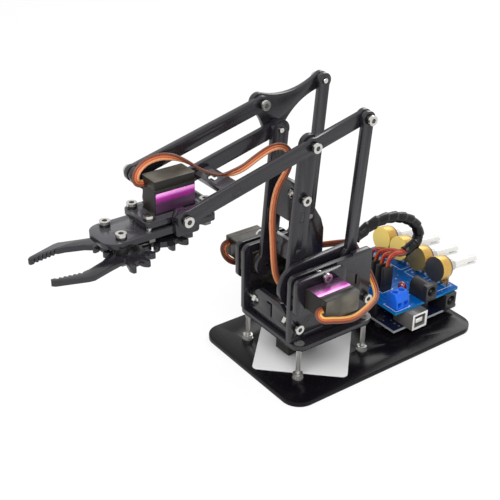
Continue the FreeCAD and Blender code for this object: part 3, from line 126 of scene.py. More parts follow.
# Routes of the cords, in millimetres. A lead leaves its servo in the turret at the exit.
EXIT_X = SHOULDER_X_MM + SERVO_SHORT_MM
EXIT_Z = SHOULDER_Z_MM
SLEEVE_ROUTE = [
    (-30.0, 5.0, 67.2), (-38.0, 5.0, 71.6), (-51.3, 5.0, 74.1), (-66.0, 5.0, 71.0),
    (-78.4, 5.0, 63.6), (-83.6, 5.0, 54.0), (-80.6, 5.0, 47.2), (-73.0, 4.0, 44.6)]
NEAR_ROUTE = [
    (EXIT_X, 42.6, EXIT_Z + 0.4), (EXIT_X + 2.4, 42.6, EXIT_Z + 0.4), (EXIT_X + 4.15, 44.0, EXIT_Z - 0.6),
    (EXIT_X + 4.15, 46.2, EXIT_Z - 2.0), (EXIT_X + 2.2, 47.5, EXIT_Z - 3.0),
    (EXIT_X - 2.0, 47.5, EXIT_Z - 4.2), (EXIT_X - 9.4, 47.5, EXIT_Z - 7.0),
    (EXIT_X - 19.0, 47.2, EXIT_Z - 9.4), (EXIT_X - 30.4, 43.6, EXIT_Z - 9.8), (-14.0, 39.0, 46.4),
    (-21.6, 34.2, 44.0), (-28.4, 28.0, 42.6), (-32.8, 20.2, 44.8), (-33.4, 12.0, 52.2),
    (-30.4, 5.6, 61.6)]
FAR_ROUTE = [
    (EXIT_X, -42.4, EXIT_Z + 2.8), (EXIT_X + 2.4, -42.4, EXIT_Z + 2.8), (EXIT_X + 4.15, -42.4, EXIT_Z + 1.05),
    (EXIT_X + 4.15, -42.3, EXIT_Z - 2.2), (EXIT_X + 2.4, -41.9, EXIT_Z - 6.6),
    (EXIT_X - 1.8, -41.5, EXIT_Z - 10.8), (EXIT_X - 8.4, -41.3, EXIT_Z - 12.9),
    (EXIT_X - 19.8, -40.8, EXIT_Z - 13.4), (EXIT_X - 32.8, -38.8, EXIT_Z - 12.8), (-20.0, -33.6, 46.6),
    (-29.4, -24.0, 50.0), (-33.4, -12.6, 55.4), (-30.6, -1.6, 61.6)]
GRIP_ROUTE = [
    (99.55, -7.6, 131.6), (101.95, -7.6, 131.6), (103.7, -7.7, 133.35), (103.7, -7.9, 136.4),
    (101.4, -8.2, 139.6), (96.2, -8.6, 142.2), (87.6, -8.0, 143.0), (77.4, -6.6, 139.0),
    (67.6, -4.0, 131.0), (59.4, 1.0, 128.2), (50.6, 4.8, 130.6), (41.0, 5.8, 136.0),
    (30.6, 5.0, 138.8), (21.6, 3.8, 136.0), (17.2, 2.6, 129.0), (18.0, 1.2, 120.4),
    (21.8, -2.0, 111.0), (23.4, -3.2, 100.0), (23.6, -3.6, 88.6), (22.6, -3.6, 77.0),
    (22.0, -3.4, 65.4), (20.6, -3.0, 54.8), (16.2, -2.2, 46.6), (8.4, -0.8, 42.6),
    (-2.0, 1.0, 42.2), (-12.4, 2.8, 44.8), (-20.6, 4.2, 50.4), (-26.0, 4.8, 58.0),
    (-28.6, 5.0, 66.8)]
# From the end of each lead into the mouth of the wrap.
GRIP_TAIL = [GRIP_ROUTE[-1], (-28.9, 5.0, 68.0), (-30.8, 6.0, 68.8), (-33.0, 6.0, 70.0)]
NEAR_TAIL = [NEAR_ROUTE[-1], (-29.8, 4.4, 63.4), (-29.3, 5.0, 66.9), (-32.6, 5.0, 68.7)]
FAR_TAIL = [FAR_ROUTE[-1], (-30.0, 0.9, 63.0), (-29.9, 4.0, 66.0), (-33.1, 4.0, 67.8)]


def length_setting(name, description, millimetres):
    return FloatProperty(name=name, description=description, default=millimetres * MM, unit="LENGTH")


class ArmSizes(PropertyGroup):
    """Sizes of the fine work that the dressed pieces carry."""

    sheet_ease: length_setting("Sheet Edge", "Width of the polished edge on cut sheet", 0.22)
    moulded_ease: length_setting("Moulded Edge", "Width of the soft edge on moulded pieces", 0.35)
    post_ease: length_setting("Post Edge", "Width of the soft edge on posts and spacers", 0.12)
    head_radius: length_setting("Head Radius", "Radius of a cap screw's head", 2.75)
    head_height: length_setting("Head Height", "Height of a cap screw's head", 3.0)
    socket_flats: length_setting("Socket", "Hexagon socket across its flats", 2.5)
    socket_depth: length_setting("Socket Depth", "Depth of the hexagon socket", 1.4)
    shank_radius: length_setting("Shank Radius", "Outer radius of the thread", 1.5)
    thread_pitch: length_setting("Thread Pitch", "Rise of one turn of the thread", 0.5)
    nut_flats: length_setting("Nut", "Hexagon nut across its flats", 5.5)
    nut_height: length_setting("Nut Height", "Height of a hexagon nut", 2.4)
    foil_width: length_setting("Foil Width", "Width of the foil label on a servo", 10.2)
    foil_inset: length_setting("Foil Inset", "From a servo's back to its foil label", 6.4)
    foil_proud: length_setting("Foil Proud", "How far the foil stands off the case", 0.05)
    foil_corner: length_setting("Foil Corner", "Radius of the foil label's corners", 0.8)
    strand_radius: length_setting("Strand Radius", "Radius of one strand of a servo lead", 0.7)
    strand_pitch: length_setting("Strand Pitch", "Distance between a lead's strands", 1.18)
    wire_radius: length_setting("Wire Radius", "Radius of a loose wire at the plugs", 0.52)
    wire_pitch: length_setting("Wire Pitch", "Distance between loose wires", 1.2)
    sleeve_radius: length_setting("Wrap Radius", "Outer radius of the spiral wrap", 3.6)
    wrap_pitch: length_setting("Wrap Pitch", "Rise of one turn of the spiral wrap", 7.5)
    wrap_step: length_setting("Wrap Step", "Height of the overlap between two turns", 0.7)
    line_width: length_setting("Printed Line", "Width of the printed lines on the upper board", 0.25)


def shown(red, green, blue):
    """Linear colour of a tone as it looks on a screen, from 0 to 255."""
    shares = (red / 255, green / 255, blue / 255)
    return tuple(c / 12.92 if c <= 0.04045 else ((c + 0.055) / 1.055) ** 2.4 for c in shares)


def colour_setting(name, description, on_screen):
    return FloatVectorProperty(name=name, description=description, subtype="COLOR", size=3,
                               min=0.0, max=1.0, default=shown(*on_screen))


class ArmColours(PropertyGroup):
    """Colours of the finishes."""

    sheet: colour_setting("Black Sheet", "Polished black acrylic of the arm", (27, 25, 30))
    base: colour_setting("Base Sheet", "Black acrylic of the base plate", (13, 11, 15))
    # Painted light: the paler tone of the gripper's upper faces.
    hand: colour_setting("Hand Sheet", "Upper faces of the gripper's sheet, in the light", (66, 64, 69))
    steel: colour_setting("Steel", "Bright stainless steel", (212, 210, 206))
    tin: colour_setting("Tin", "Tinned shell and turned shafts", (226, 224, 220))
    case: colour_setting("Servo Case", "Smoky plastic of the servo cases", (66, 62, 55))
    case_glow: colour_setting("Case Glow", "Where light passes through the smoky plastic", (94, 90, 79))
    foil: colour_setting("Foil", "Magenta foil label", (170, 40, 150))
    # The foil's shine is a painted highlight.
    foil_shine: colour_setting("Foil Shine", "Bright stripe along the foil's edge", (255, 164, 240))
    foil_dark: colour_setting("Foil Dark", "Shaded side of the foil label", (76, 46, 74))
    shield: colour_setting("Shield", "Blue solder mask of the upper board", (0, 78, 150))
    shield_edge: colour_setting("Shield Edge", "Cut edge of the upper board", (20, 112, 158))
    board: colour_setting("Board", "Navy solder mask of the lower board", (16, 20, 42))
    marks: colour_setting("Marks", "White printed lines on the boards", (226, 230, 232))
    block: colour_setting("Terminal Block", "Blue moulded terminal block", (3, 82, 188))
    can: colour_setting("Pot Can", "Yellow passivated cans of the pots", (196, 158, 78))
    # The pots' backs carry painted shade and painted light.
    can_dark: colour_setting("Pot Back", "Dark back of the nearest pot", (46, 47, 50))
    can_dim: colour_setting("Pot Shade", "Shaded back of the second pot", (104, 92, 56))
    can_face: colour_setting("Pot Face", "Bright backs of the far pots", (244, 212, 108))
    wafer: colour_setting("Pot Wafer", "Brown wafer at the rim of a pot", (98, 62, 34))
    brown: colour_setting("Brown Strand", "Brown insulation", (98, 54, 38))
    orange: colour_setting("Orange Strand", "Orange insulation", (172, 88, 48))
    # The pale strands of the near and gripper leads are partly painted light.
    yellow: colour_setting("Yellow Strand", "Pale orange insulation of the near lead", (212, 158, 84))
    salmon: colour_setting("Salmon Strand", "Pale orange insulation of the gripper lead", (196, 130, 90))
    red: colour_setting("Red Wire", "Red insulation", (176, 36, 24))
    paper: colour_setting("White Sheet", "White sheet on the base", (232, 231, 232))
    black: colour_setting("Black Plastic", "Black moulded plastic", (26, 26, 28))
    cream: colour_setting("Horn", "Cream nylon of the servo horn", (222, 214, 190))
    lens: colour_setting("Lens", "Red lens of the status light", (112, 12, 28))


class Socket:
    """Output of a node that sums can be written with."""

    def __init__(self, wiring, socket):
        self.wiring = wiring
        self.socket = socket

    def math(self, operation, first, second=0.0):
        return self.wiring.add("ShaderNodeMath", {"operation": operation}, {0: first, 1: second})

    def __add__(self, other):
        return self.math("ADD", self, other)

    def __radd__(self, other):
        return self.math("ADD", other, self)

    def __sub__(self, other):
        return self.math("SUBTRACT", self, other)

    def __rsub__(self, other):
        return self.math("SUBTRACT", other, self)

    def __mul__(self, other):
        return self.math("MULTIPLY", self, other)

    def __rmul__(self, other):
        return self.math("MULTIPLY", other, self)

    def __truediv__(self, other):
        return self.math("DIVIDE", self, other)

    def sine(self):
        return self.math("SINE", self)

    def above(self, level):
        return self.math("GREATER_THAN", self, level)

    def below(self, level):
        return self.math("LESS_THAN", self, level)

    def or_more(self, other):
        return self.math("MAXIMUM", self, other)

    def eased(self, low, high):
        """0 below low, 1 above high, and a smooth rise between."""
        return self.wiring.add("ShaderNodeMapRange", {"interpolation_type": "SMOOTHSTEP"},
                               {0: self, 1: low, 2: high, 3: 0.0, 4: 1.0})

    def part(self, name):
        """Another output of the same node."""
        return Socket(self.wiring, self.socket.node.outputs[name])


class Wiring:
    """Node tree with one way to add a node."""

    def __init__(self, tree):
        self.tree = tree

    def add(self, kind, settings=None, values=None, output=0):
        node = self.tree.nodes.new(kind)
        for name, value in (settings or {}).items():
            setattr(node, name, value)
        for key, value in (values or {}).items():
            self.give(node.inputs[key], value)
        return Socket(self, node.outputs[output]) if node.outputs else node

    def give(self, socket, value):
        if isinstance(value, Socket):
            self.tree.links.new(value.socket, socket)
        else:
            socket.default_value = value

    def join(self, *pieces):
        joined = self.add("GeometryNodeJoinGeometry")
        for piece in pieces:
            self.tree.links.new(piece.socket, joined.socket.node.inputs[0])
        return joined

    def upward(self, height):
        return self.add("ShaderNodeCombineXYZ", None, {"Z": height})

    def lift(self, piece, height):
        values = {"Geometry": piece, "Translation": self.upward(height)}
        return self.add("GeometryNodeTransform", None, values)

    def shown_share(self):
        """1 for what the camera sees, also in reflections and through clear things, and 0 for the light."""
        ray = self.add("ShaderNodeLightPath", output="Is Camera Ray")
        return ray.or_more(ray.part("Is Glossy Ray")).or_more(ray.part("Is Transmission Ray"))


class Finish(Wiring):
    """Material of one finish: constants sit on the shader's own sockets, and what varies is wired in."""

    def __init__(self, name, **constants):
        self.material = bpy.data.materials.new(name)
        self.material.use_nodes = True
        super().__init__(self.material.node_tree)
        self.shader = self.tree.nodes["Principled BSDF"]
        for key, value in constants.items():
            self.set(key.replace("_", " ").title().replace("Ior", "IOR"), value)

    def set(self, name, value):
        if isinstance(value, tuple) and len(value) == 3:
            value = (*value, 1.0)
        self.give(self.shader.inputs[name], value)

    def place(self):
        return self.add("ShaderNodeTexCoord", output="Object")

    def axis(self, name):
        """One coordinate of the object's own place, in millimetres."""
        return self.add("ShaderNodeSeparateXYZ", None, {0: self.place()}, name) * MM_PER_M

    def dot(self, first, direction):
        ends = {0: first, 1: direction}
        return self.add("ShaderNodeVectorMath", {"operation": "DOT_PRODUCT"}, ends, "Value")

    def along(self, direction, start_mm):
        """Distance in millimetres from a point, measured along a direction."""
        ends = {0: self.place(), 1: start_mm * MM}
        offset = self.add("ShaderNodeVectorMath", {"operation": "SUBTRACT"}, ends)
        return self.dot(offset, direction) * MM_PER_M

    def noise(self, scale, detail=3.0, stretch=None):
        place = self.place()
        if stretch:
            place = self.add("ShaderNodeMapping", None, {"Vector": place, "Scale": stretch})
        return self.add("ShaderNodeTexNoise", None, {"Vector": place, "Scale": scale, "Detail": detail})

    def mix(self, share, first, second):
        first, second = ((*c, 1.0) if isinstance(c, tuple) and len(c) == 3 else c for c in (first, second))
        return self.add("ShaderNodeMix", {"data_type": "RGBA"}, {0: share, 6: first, 7: second}, 2)

    def toward(self, direction):
        """How far the surface looks in a direction, from -1 to 1."""
        return self.dot(self.add("ShaderNodeTexCoord", output="Normal"), direction)

    def done(self, colour, roughness, height=None, strength=0.0, distance=0.0):
        """The material, with what varies over its surface wired in; a height becomes bump."""
        self.set("Base Color", colour)
        self.set("Roughness", roughness)
        if height:
            values = {"Strength": strength, "Distance": distance, "Height": height}
            self.set("Normal", self.add("ShaderNodeBump", None, values))
        return self.material


def tone(name, gain=1.0):
    return tuple(min(1.0, c * gain) for c in getattr(bpy.context.scene.arm_colours, name))


def once(make):
    """A finish is made the first time it is asked for."""
    def found(*words):
        name = "_".join((make.__name__,) + words)
        return bpy.data.materials.get(name) or make(name, *words)
    return found


# Gloss, roughness, and the tones of the sides and of the upper faces of each kind of sheet; the paler upper
# tones are painted light.
SHEETS = {
    "sheet": (0.5, 0.2, ("sheet", 1.0), ("sheet", 1.5)),
    "base": (0.11, 0.19, ("base", 1.0), ("base", 1.0)),
    "hand": (0.5, 0.2, ("sheet", 1.0), ("hand", 1.0)),
}


@once
def polished_sheet(name, which):
    """Black acrylic: rich dark colour, faint smudges in the gloss and a little dust; upper faces are paler
    with painted light.
    """
    gloss, rough, side, upper = SHEETS[which]
    finish = Finish(name, specular_ior_level=gloss, ior=1.49)
    smudge = finish.noise(38.0, 4.0).eased(0.42, 0.72)
    dust = finish.noise(1400.0, 2.0).eased(0.66, 0.74)
    # Painted light: faces that look up take the paler upper tone, a painted sheen.
    body = finish.mix(finish.toward((0.0, 0.0, 1.0)).eased(0.4, 0.9), tone(*side), tone(*upper))
    colour = finish.mix(dust * 0.3, body, tone("hand"))
    return finish.done(colour, rough + smudge * 0.12 + dust * 0.1, finish.noise(90.0, 2.0), 0.05, 0.0006)


@once
def stainless_steel(name, which):
    """Brushed steel with painted shade in the sockets and low on the heads; posts are pale between nuts and
    heads, which carry painted shade.
    """
    finish = Finish(name, metallic={"cap": 1.0, "post": 0.72}[which])
    brushed = finish.noise(900.0, 3.0, (1.0, 1.0, 0.12))
    rough = 0.17 + brushed * 0.14
    if which == "post":
        z = finish.axis("Z")
        # Painted shade on the posts: the heads under the turret plate and the nuts by the base are darkened.
        head = z.above(POST_HEAD_Z_MM)
        deep = head * 0.8 + z.below(POST_NUT_Z_MM) * 0.5
        rough = rough + head * 0.45
    else:
        # Painted shade that screws and nuts carry from their trees.
        deep = finish.add("ShaderNodeAttribute", {"attribute_name": "deep"}, None, "Fac")
    bright = finish.mix(brushed, tone("steel", 0.82), tone("steel"))
    colour = finish.mix(deep * 0.9, bright, tone("steel", 0.06))
    return finish.done(colour, rough, brushed, 0.04, 0.0001)


@once
def tinned_metal(name, which):
    """Turned shafts, bright all round, and the tinned shell, whose faces that do not look along Y carry
    painted shade, so its mouth is brighter than its top.
    """
    finish = Finish(name, metallic=0.15 if which == "shell" else 0.4, specular_ior_level=0.6)
    drawn = finish.noise(260.0, 2.0, (1.0, 0.2, 1.0))
    bright = finish.mix(drawn, tone("tin", 0.88), tone("tin"))
    if which == "shell":
        # Painted shade: faces of the shell that do not look along Y are darkened.
        bright = finish.mix(finish.toward((0.0, 1.0, 0.0)).eased(0.4, 0.9), tone("tin", 0.16), bright)
    return finish.done(bright, 0.24 + drawn * 0.12, drawn, 0.03, 0.0001)


@once
def smoky_case(name, back):
    """Smoky plastic, cloudy where light comes through; painted light makes the face that looks back the
    palest, and the other faces carry painted shade.
    """
    way = {"up": (0.0, 0.0, 1.0), "near": (0.0, 1.0, 0.0)}[back]
    finish = Finish(name, specular_ior_level=0.24, ior=1.53)
    cloud = finish.noise(85.0, 3.0).eased(0.35, 0.7)
    grain = finish.noise(2600.0, 1.0)
    pale = finish.mix(cloud, tone("case"), tone("case_glow"))
    # Painted light and shade: the face that looks back is lit and the others are darkened.
    colour = finish.mix(finish.toward(way).eased(0.2, 0.9), tone("case", 0.18), pale)
    return finish.done(colour, 0.32 + grain * 0.14, grain, 0.08, 0.0001)


@once
def foil_label(name):
    """Foil with a painted highlight along its back edge, falling through magenta into a grey of painted
    shade.
    """
    finish = Finish(name, metallic=0.25, specular_ior_level=0.6)
    uv = finish.add("ShaderNodeUVMap", {"uv_map": "label"})
    across = finish.add("ShaderNodeSeparateXYZ", None, {0: uv}, "Y")
    crease = finish.noise(420.0, 3.0)
    # The shine along the back edge is a painted highlight.
    lit = finish.mix((across + crease * 0.08).eased(0.1, 0.32), tone("foil_shine"), tone("foil"))
    colour = finish.mix((across + crease * 0.24).eased(0.38, 0.7), lit, tone("foil_dark"))
    return finish.done(colour, 0.2 + crease * 0.2, crease, 0.12, 0.0002)


@once
def circuit_board(name, which):
    """Solder mask with copper runs under it, plated holes and a cut edge, pale on the lower board."""
    finish = Finish(name, specular_ior_level=0.14)
    x = finish.axis("X")
    y = finish.axis("Y")
    drift = finish.noise(60.0, 2.0) * 5.0
    runs_x = ((x + drift) * 2.1).sine().eased(0.55, 0.8) * finish.noise(46.0, 1.0).eased(0.5, 0.56)
    patches = finish.noise(52.0, 1.0, (1.0, 1.0, 3.0)).eased(0.52, 0.58)
    runs = runs_x + ((y - drift) * 2.1).sine().eased(0.55, 0.8) * patches
    cells = {"Vector": finish.place(), "Scale": 230.0, "Randomness": 0.85}
    dots = finish.add("ShaderNodeTexVoronoi", None, cells)
    level = finish.toward((0.0, 0.0, 1.0))
    edge = 1.0 - (level * level).eased(0.2, 0.6)
    vias = dots.below(0.16) * (1.0 - edge)
    mask = finish.mix(runs, tone(which), tone(which, 1.7))
    cut = tone("marks", 0.55) if which == "board" else tone("shield_edge")
    mask = finish.mix(edge * 0.7, mask, cut)
    colour = finish.mix(vias * 0.6, mask, (0.5, 0.5, 0.46))
    finish.set("Metallic", vias * 0.6)
    return finish.done(colour, 0.3 + finish.noise(700.0) * 0.12, runs, 0.2, 0.00005)


@once
def moulded(name, which):
    """Moulded plastic with a fine spark-eroded grain."""
    finish = Finish(name, specular_ior_level=0.4)
    grain = finish.noise(1800.0, 2.0)
    cloud = finish.noise(120.0, 2.0)
    colour = finish.mix(cloud * 0.5 + grain * 0.3, tone(which), tone(which, 1.35))
    return finish.done(colour, 0.36 + grain * 0.22, grain, 0.18, 0.00012)


@once
def insulation(name, which):
    """Wire insulation, a little uneven in colour."""
    finish = Finish(name, specular_ior_level=0.4)
    cloud = finish.noise(260.0, 3.0)
    colour = finish.mix(cloud, tone(which, 0.82), tone(which, 1.12))
    return finish.done(colour, 0.34 + cloud * 0.14, cloud, 0.06, 0.0001)


@once
def spiral_wrap(name):
    """Black wrap with pale streaks, painted highlights where its raised turns catch the light."""
    finish = Finish(name, specular_ior_level=0.24)
    # Painted highlight: pale streaks along the wrap.
    painted_highlight_streak = finish.noise(300.0, 3.0, (0.4, 1.0, 1.0)).eased(0.45, 0.75)
    colour = finish.mix(painted_highlight_streak, tone("black", 0.25), tone("black", 0.75))
    return finish.done(colour, 0.22 + painted_highlight_streak * 0.24, painted_highlight_streak, 0.1, 0.0002)


@once
def paper_sheet(name):
    """White sheet, shading to grey towards the turret."""
    finish = Finish(name, specular_ior_level=0.4)
    fibre = finish.noise(1500.0, 4.0)
    shade = (finish.axis("X") + finish.axis("Y")).eased(-30.0, 62.0)
    colour = finish.mix(shade * 0.85 + fibre * 0.15, tone("paper", 0.66), tone("paper"))
    return finish.done(colour, 0.42 + fibre * 0.2, fibre, 0.06, 0.0001)


@once
def pot_finish(name):
    """Passivated can, brown wafer, plated bush; painted shade and light colour the backs, from dark on the
    nearest to bright far off.
    """
    finish = Finish(name, specular_ior_level=0.5)
    depth = finish.along(POT_AXIS, POT_BACK_MM)
    scuff = finish.noise(340.0, 3.0)
    y = finish.axis("Y")
    back = depth.below(POT_BACK_DEPTH_MM)
    # Painted light and shade on the backs, by where each pot stands: dark on the nearest, shaded on the
    # second, bright on the far ones.
    face = finish.mix(y.above(POT_FIRST_Y_MM - 1.5 * POT_PITCH_MM), tone("can_face"), tone("can_dim"))
    face = finish.mix(y.above(POT_FIRST_Y_MM - 0.5 * POT_PITCH_MM), face, tone("can_dark"))
    can = finish.mix(back, finish.mix(scuff, tone("can", 0.8), tone("can", 1.15)), face)
    wafer = finish.mix(scuff, tone("wafer", 0.8), tone("wafer", 1.2))
    body = finish.mix(depth.above(POT_CAN_DEPTH_MM), can, wafer)
    plated = depth.above(POT_WAFER_DEPTH_MM)
    colour = finish.mix(plated, body, tone("steel", 0.8))
    finish.set("Metallic", plated * 0.9 + depth.below(POT_CAN_DEPTH_MM) * (1.0 - back) * 0.5)
    return finish.done(colour, 0.3 + scuff * 0.2, scuff, 0.06, 0.0001)


@once
def lamp_lens(name):
    """Tinted lens, darker at its foot: its upper part carries painted light."""
    finish = Finish(name, specular_ior_level=0.6, coat_weight=0.6)
    # Painted light: the lens brightens towards its top.
    glow = finish.axis("Z").eased(21.0, 28.5)
    colour = finish.mix(glow, tone("lens", 0.55), tone("lens"))
    return finish.done(colour, 0.12 + finish.noise(500.0) * 0.1)


def in_scene(name, data):
    """New object of its data, in the scene."""
    item = bpy.data.objects.new(name, data)
    bpy.context.collection.objects.link(item)
    return item


def new_piece(name, mesh, body=None, stands_for=()):
    """Object of a finished mesh, riding on its body and standing for its nodes."""
    piece = in_scene(name, mesh)
    if body:
        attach(piece, body)
    if stands_for:
        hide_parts(*stands_for)
    return piece


def merged(node):
    """Copy of a node's solids with its corners joined and its flat faces whole."""
    work = bmesh.new()
    work.from_mesh(frame["nodes"][node].data)
    bmesh.ops.remove_doubles(work, verts=work.verts, dist=JOINED_WITHIN)
    bmesh.ops.dissolve_limit(work, angle_limit=FLAT_WITHIN, verts=work.verts, edges=work.edges)
    return work


def mesh_of(work, name, *materials):
    """Mesh of what was built, with its finishes in order."""
    mesh = bpy.data.meshes.new(name)
    work.to_mesh(mesh)
    work.free()
    for material in materials:
        mesh.materials.append(material)
    return mesh


def finished(holder):
    """Plain mesh of an object with its modifiers worked in; the object itself goes."""
    mesh = bpy.data.meshes.new_from_object(holder.evaluated_get(bpy.context.evaluated_depsgraph_get()))
    bpy.data.objects.remove(holder)
    return mesh


def smooth(mesh, creased_from=CREASED_FROM):
    """Shades a mesh smooth between its creases."""
    mesh.polygons.foreach_set("use_smooth", [True] * len(mesh.polygons))
    mesh.set_sharp_from_angle(angle=creased_from)


def eased_mesh(work, name, width, material):
    """Mesh of the solids with every sharp edge eased."""
    holder = in_scene(name, mesh_of(work, name, material))
    bevel = holder.modifiers.new("ease", "BEVEL")
    bevel.width = width
    bevel.segments = 2
    bevel.limit_method = "ANGLE"
    bevel.angle_limit = EASED_FROM
    bevel.use_clamp_overlap = True
    mesh = finished(holder)
    smooth(mesh)
    return mesh


def ease_node(node, width, material):
    """Dressed stand-in for a node: its own solids with eased edges."""
    mesh = eased_mesh(merged(node), node + "_dressed", width, material)
    return new_piece(node + "_dressed", mesh, BODY_OF[node], (node,))


def paint_node(node, material):
    """Gives a node that is shown as it is its finish."""
    for place in frame["nodes"][node].material_slots:
        place.link = "OBJECT"
        place.material = material


def route_line(route):
    """Points along the smooth line of a cord, from its route in millimetres."""
    curve = bpy.data.curves.new("route", "CURVE")
    curve.dimensions = "3D"
    curve.resolution_u = ROUTE_STEPS
    spline = curve.splines.new("NURBS")
    spline.points.add(len(route) - 1)
    for point, at in zip(spline.points, route):
        point.co = (*(Vector(at) * MM), 1.0)
    spline.order_u = 3
    spline.use_endpoint_u = True
    line = finished(in_scene("route", curve))
    points = [v.co.copy() for v in line.vertices]
    bpy.data.meshes.remove(line)
    bpy.data.curves.remove(curve)
    return points


def line_frames(points, facing):
    """Each point with its broad and flat directions; facing lists (share, where the flat side looks)."""
    frames = []
    last = len(points) - 1
    for i, point in enumerate(points):
        ahead = (points[min(i + 1, last)] - points[max(i - 1, 0)]).normalized()
        share = i / last
        flat = Vector(facing[-1][1])
        for (s0, v0), (s1, v1) in zip(facing, facing[1:]):
            if share <= s1:
                flat = Vector(v0).lerp(Vector(v1), max(0.0, (share - s0) / (s1 - s0)))
                break
        flat = (flat - ahead * flat.dot(ahead)).normalized()
        frames.append((point, ahead.cross(flat), flat))
    return frames


def sweep(work, frames, ring, finish=0):
    """Closed tube whose ring of (broad, flat) offsets may change with the ring's number."""
    rings = []
    for k, (point, side, flat) in enumerate(frames):
        rings.append([work.verts.new(point + side * u + flat * v) for u, v in ring(k)])
    faces = [work.faces.new(rings[0]), work.faces.new(list(reversed(rings[-1])))]
    count = len(rings[0])
    for low, high in zip(rings, rings[1:]):
        for i in range(count):
            j = (i + 1) % count
            faces.append(work.faces.new((low[j], low[i], high[i], high[j])))
    for face in faces:
        face.material_index = finish
        face.smooth = True


def ribbon_mesh(name, frames, tones, radius, pitch):
    """Flat lead of side-by-side strands, each with its own insulation."""
    sides = 12
    turns = [2 * math.pi * i / sides for i in range(sides)]
    work = bmesh.new()
    for k in range(len(tones)):
        shift = (k - 0.5 * (len(tones) - 1)) * pitch
        strand = [(shift + radius * math.cos(turn), radius * math.sin(turn)) for turn in turns]
        sweep(work, frames, lambda number, strand=strand: strand, k)
    bmesh.ops.recalc_face_normals(work, faces=work.faces)
    return mesh_of(work, name, *(insulation(which) for which in tones))


def lead_mesh(name, frames, tones):
    """Lead of a servo."""
    sizes = bpy.context.scene.arm_sizes
    return ribbon_mesh(name, frames, tones, sizes.strand_radius, sizes.strand_pitch)


class ARM_OT_stage(Operator):
    """Camera at the photograph's place, pale floor and soft light"""

    bl_idname = "arm.stage"
    bl_label = "Stage"

    # Name, place, size and power of each lamp.
    LAMPS = (("key", (0.55, 0.45, 0.95), 0.7, 11.0),
             ("fill", (0.25, 0.95, 0.35), 0.8, 3.0),
             ("rim", (-0.85, -0.5, 0.8), 0.7, 7.0))
    LIT_POINT = Vector((0.0, 0.0, 0.07))
    FLOOR_REACH = 6.0
    FLOOR_Z = -0.0004
    FLOOR_GLOW = 0.8
    WORLD_LIGHT = 0.5

    def execute(self, context):
        scene = context.scene
        scene.view_settings.view_transform = "Standard"
        self.add_camera(scene)
        self.add_floor()
        self.add_world(scene)
        for lamp in self.LAMPS:
            self.add_lamp(*lamp)
        return {"FINISHED"}

    def add_camera(self, scene):
        data = bpy.data.cameras.new("camera")
        data.sensor_width = CAMERA_SENSOR_MM
        data.lens = CAMERA_LENS_MM
        data.clip_start = 0.01
        camera = in_scene("camera", data)
        around = Matrix.Rotation(CAMERA_AZIMUTH, 4, "Z")
        down = Matrix.Rotation(0.5 * math.pi - CAMERA_ELEVATION, 4, "X")
        roll = Matrix.Rotation(CAMERA_ROLL, 4, "Z")
        camera.matrix_world = Matrix.Translation(Vector(CAMERA_AT_MM) * MM) @ around @ down @ roll
        scene.camera = camera

    def add_floor(self):
        mesh = bpy.data.meshes.new("floor")
        corners = [(x * self.FLOOR_REACH, y * self.FLOOR_REACH, self.FLOOR_Z)
                   for x, y in ((-1, -1), (1, -1), (1, 1), (-1, 1))]
        mesh.from_pydata(corners, [], [(0, 1, 2, 3)])
        finish = Finish("pale_floor", specular_ior_level=0.2, roughness=0.6)
        finish.set("Base Color", finish.mix(finish.noise(3.0), shown(246, 246, 246), shown(250, 250, 250)))
        self.show_white(finish)
        mesh.materials.append(finish.material)
        new_piece("floor", mesh)

    def show_white(self, finish):
        """The floor looks white to the camera and to reflections, and its own shade still darkens it."""
        share = finish.shown_share() * self.FLOOR_GLOW
        glow = finish.add("ShaderNodeEmission", None, {"Strength": 1.0})
        lit = Socket(finish, finish.shader.outputs[0])
        mixed = finish.add("ShaderNodeMixShader", None, {0: share, 1: lit, 2: glow})
        finish.give(finish.tree.nodes["Material Output"].inputs["Surface"], mixed)

    def add_world(self, scene):
        world = bpy.data.worlds.new("studio")
        world.use_nodes = True
        scene.world = world
        wiring = Wiring(world.node_tree)
        strength = self.WORLD_LIGHT + wiring.shown_share() * (1.0 - self.WORLD_LIGHT)
        background = world.node_tree.nodes["Background"]
        background.inputs["Color"].default_value = (1.0, 1.0, 1.0, 1.0)
        wiring.give(background.inputs["Strength"], strength)

    def add_lamp(self, name, at, size, power):
        data = bpy.data.lights.new(name, "AREA")
        data.size = size
        data.energy = power
        lamp = in_scene(name, data)
        lamp.location = at
        lamp.rotation_euler = (self.LIT_POINT - lamp.location).to_track_quat("-Z", "Y").to_euler()


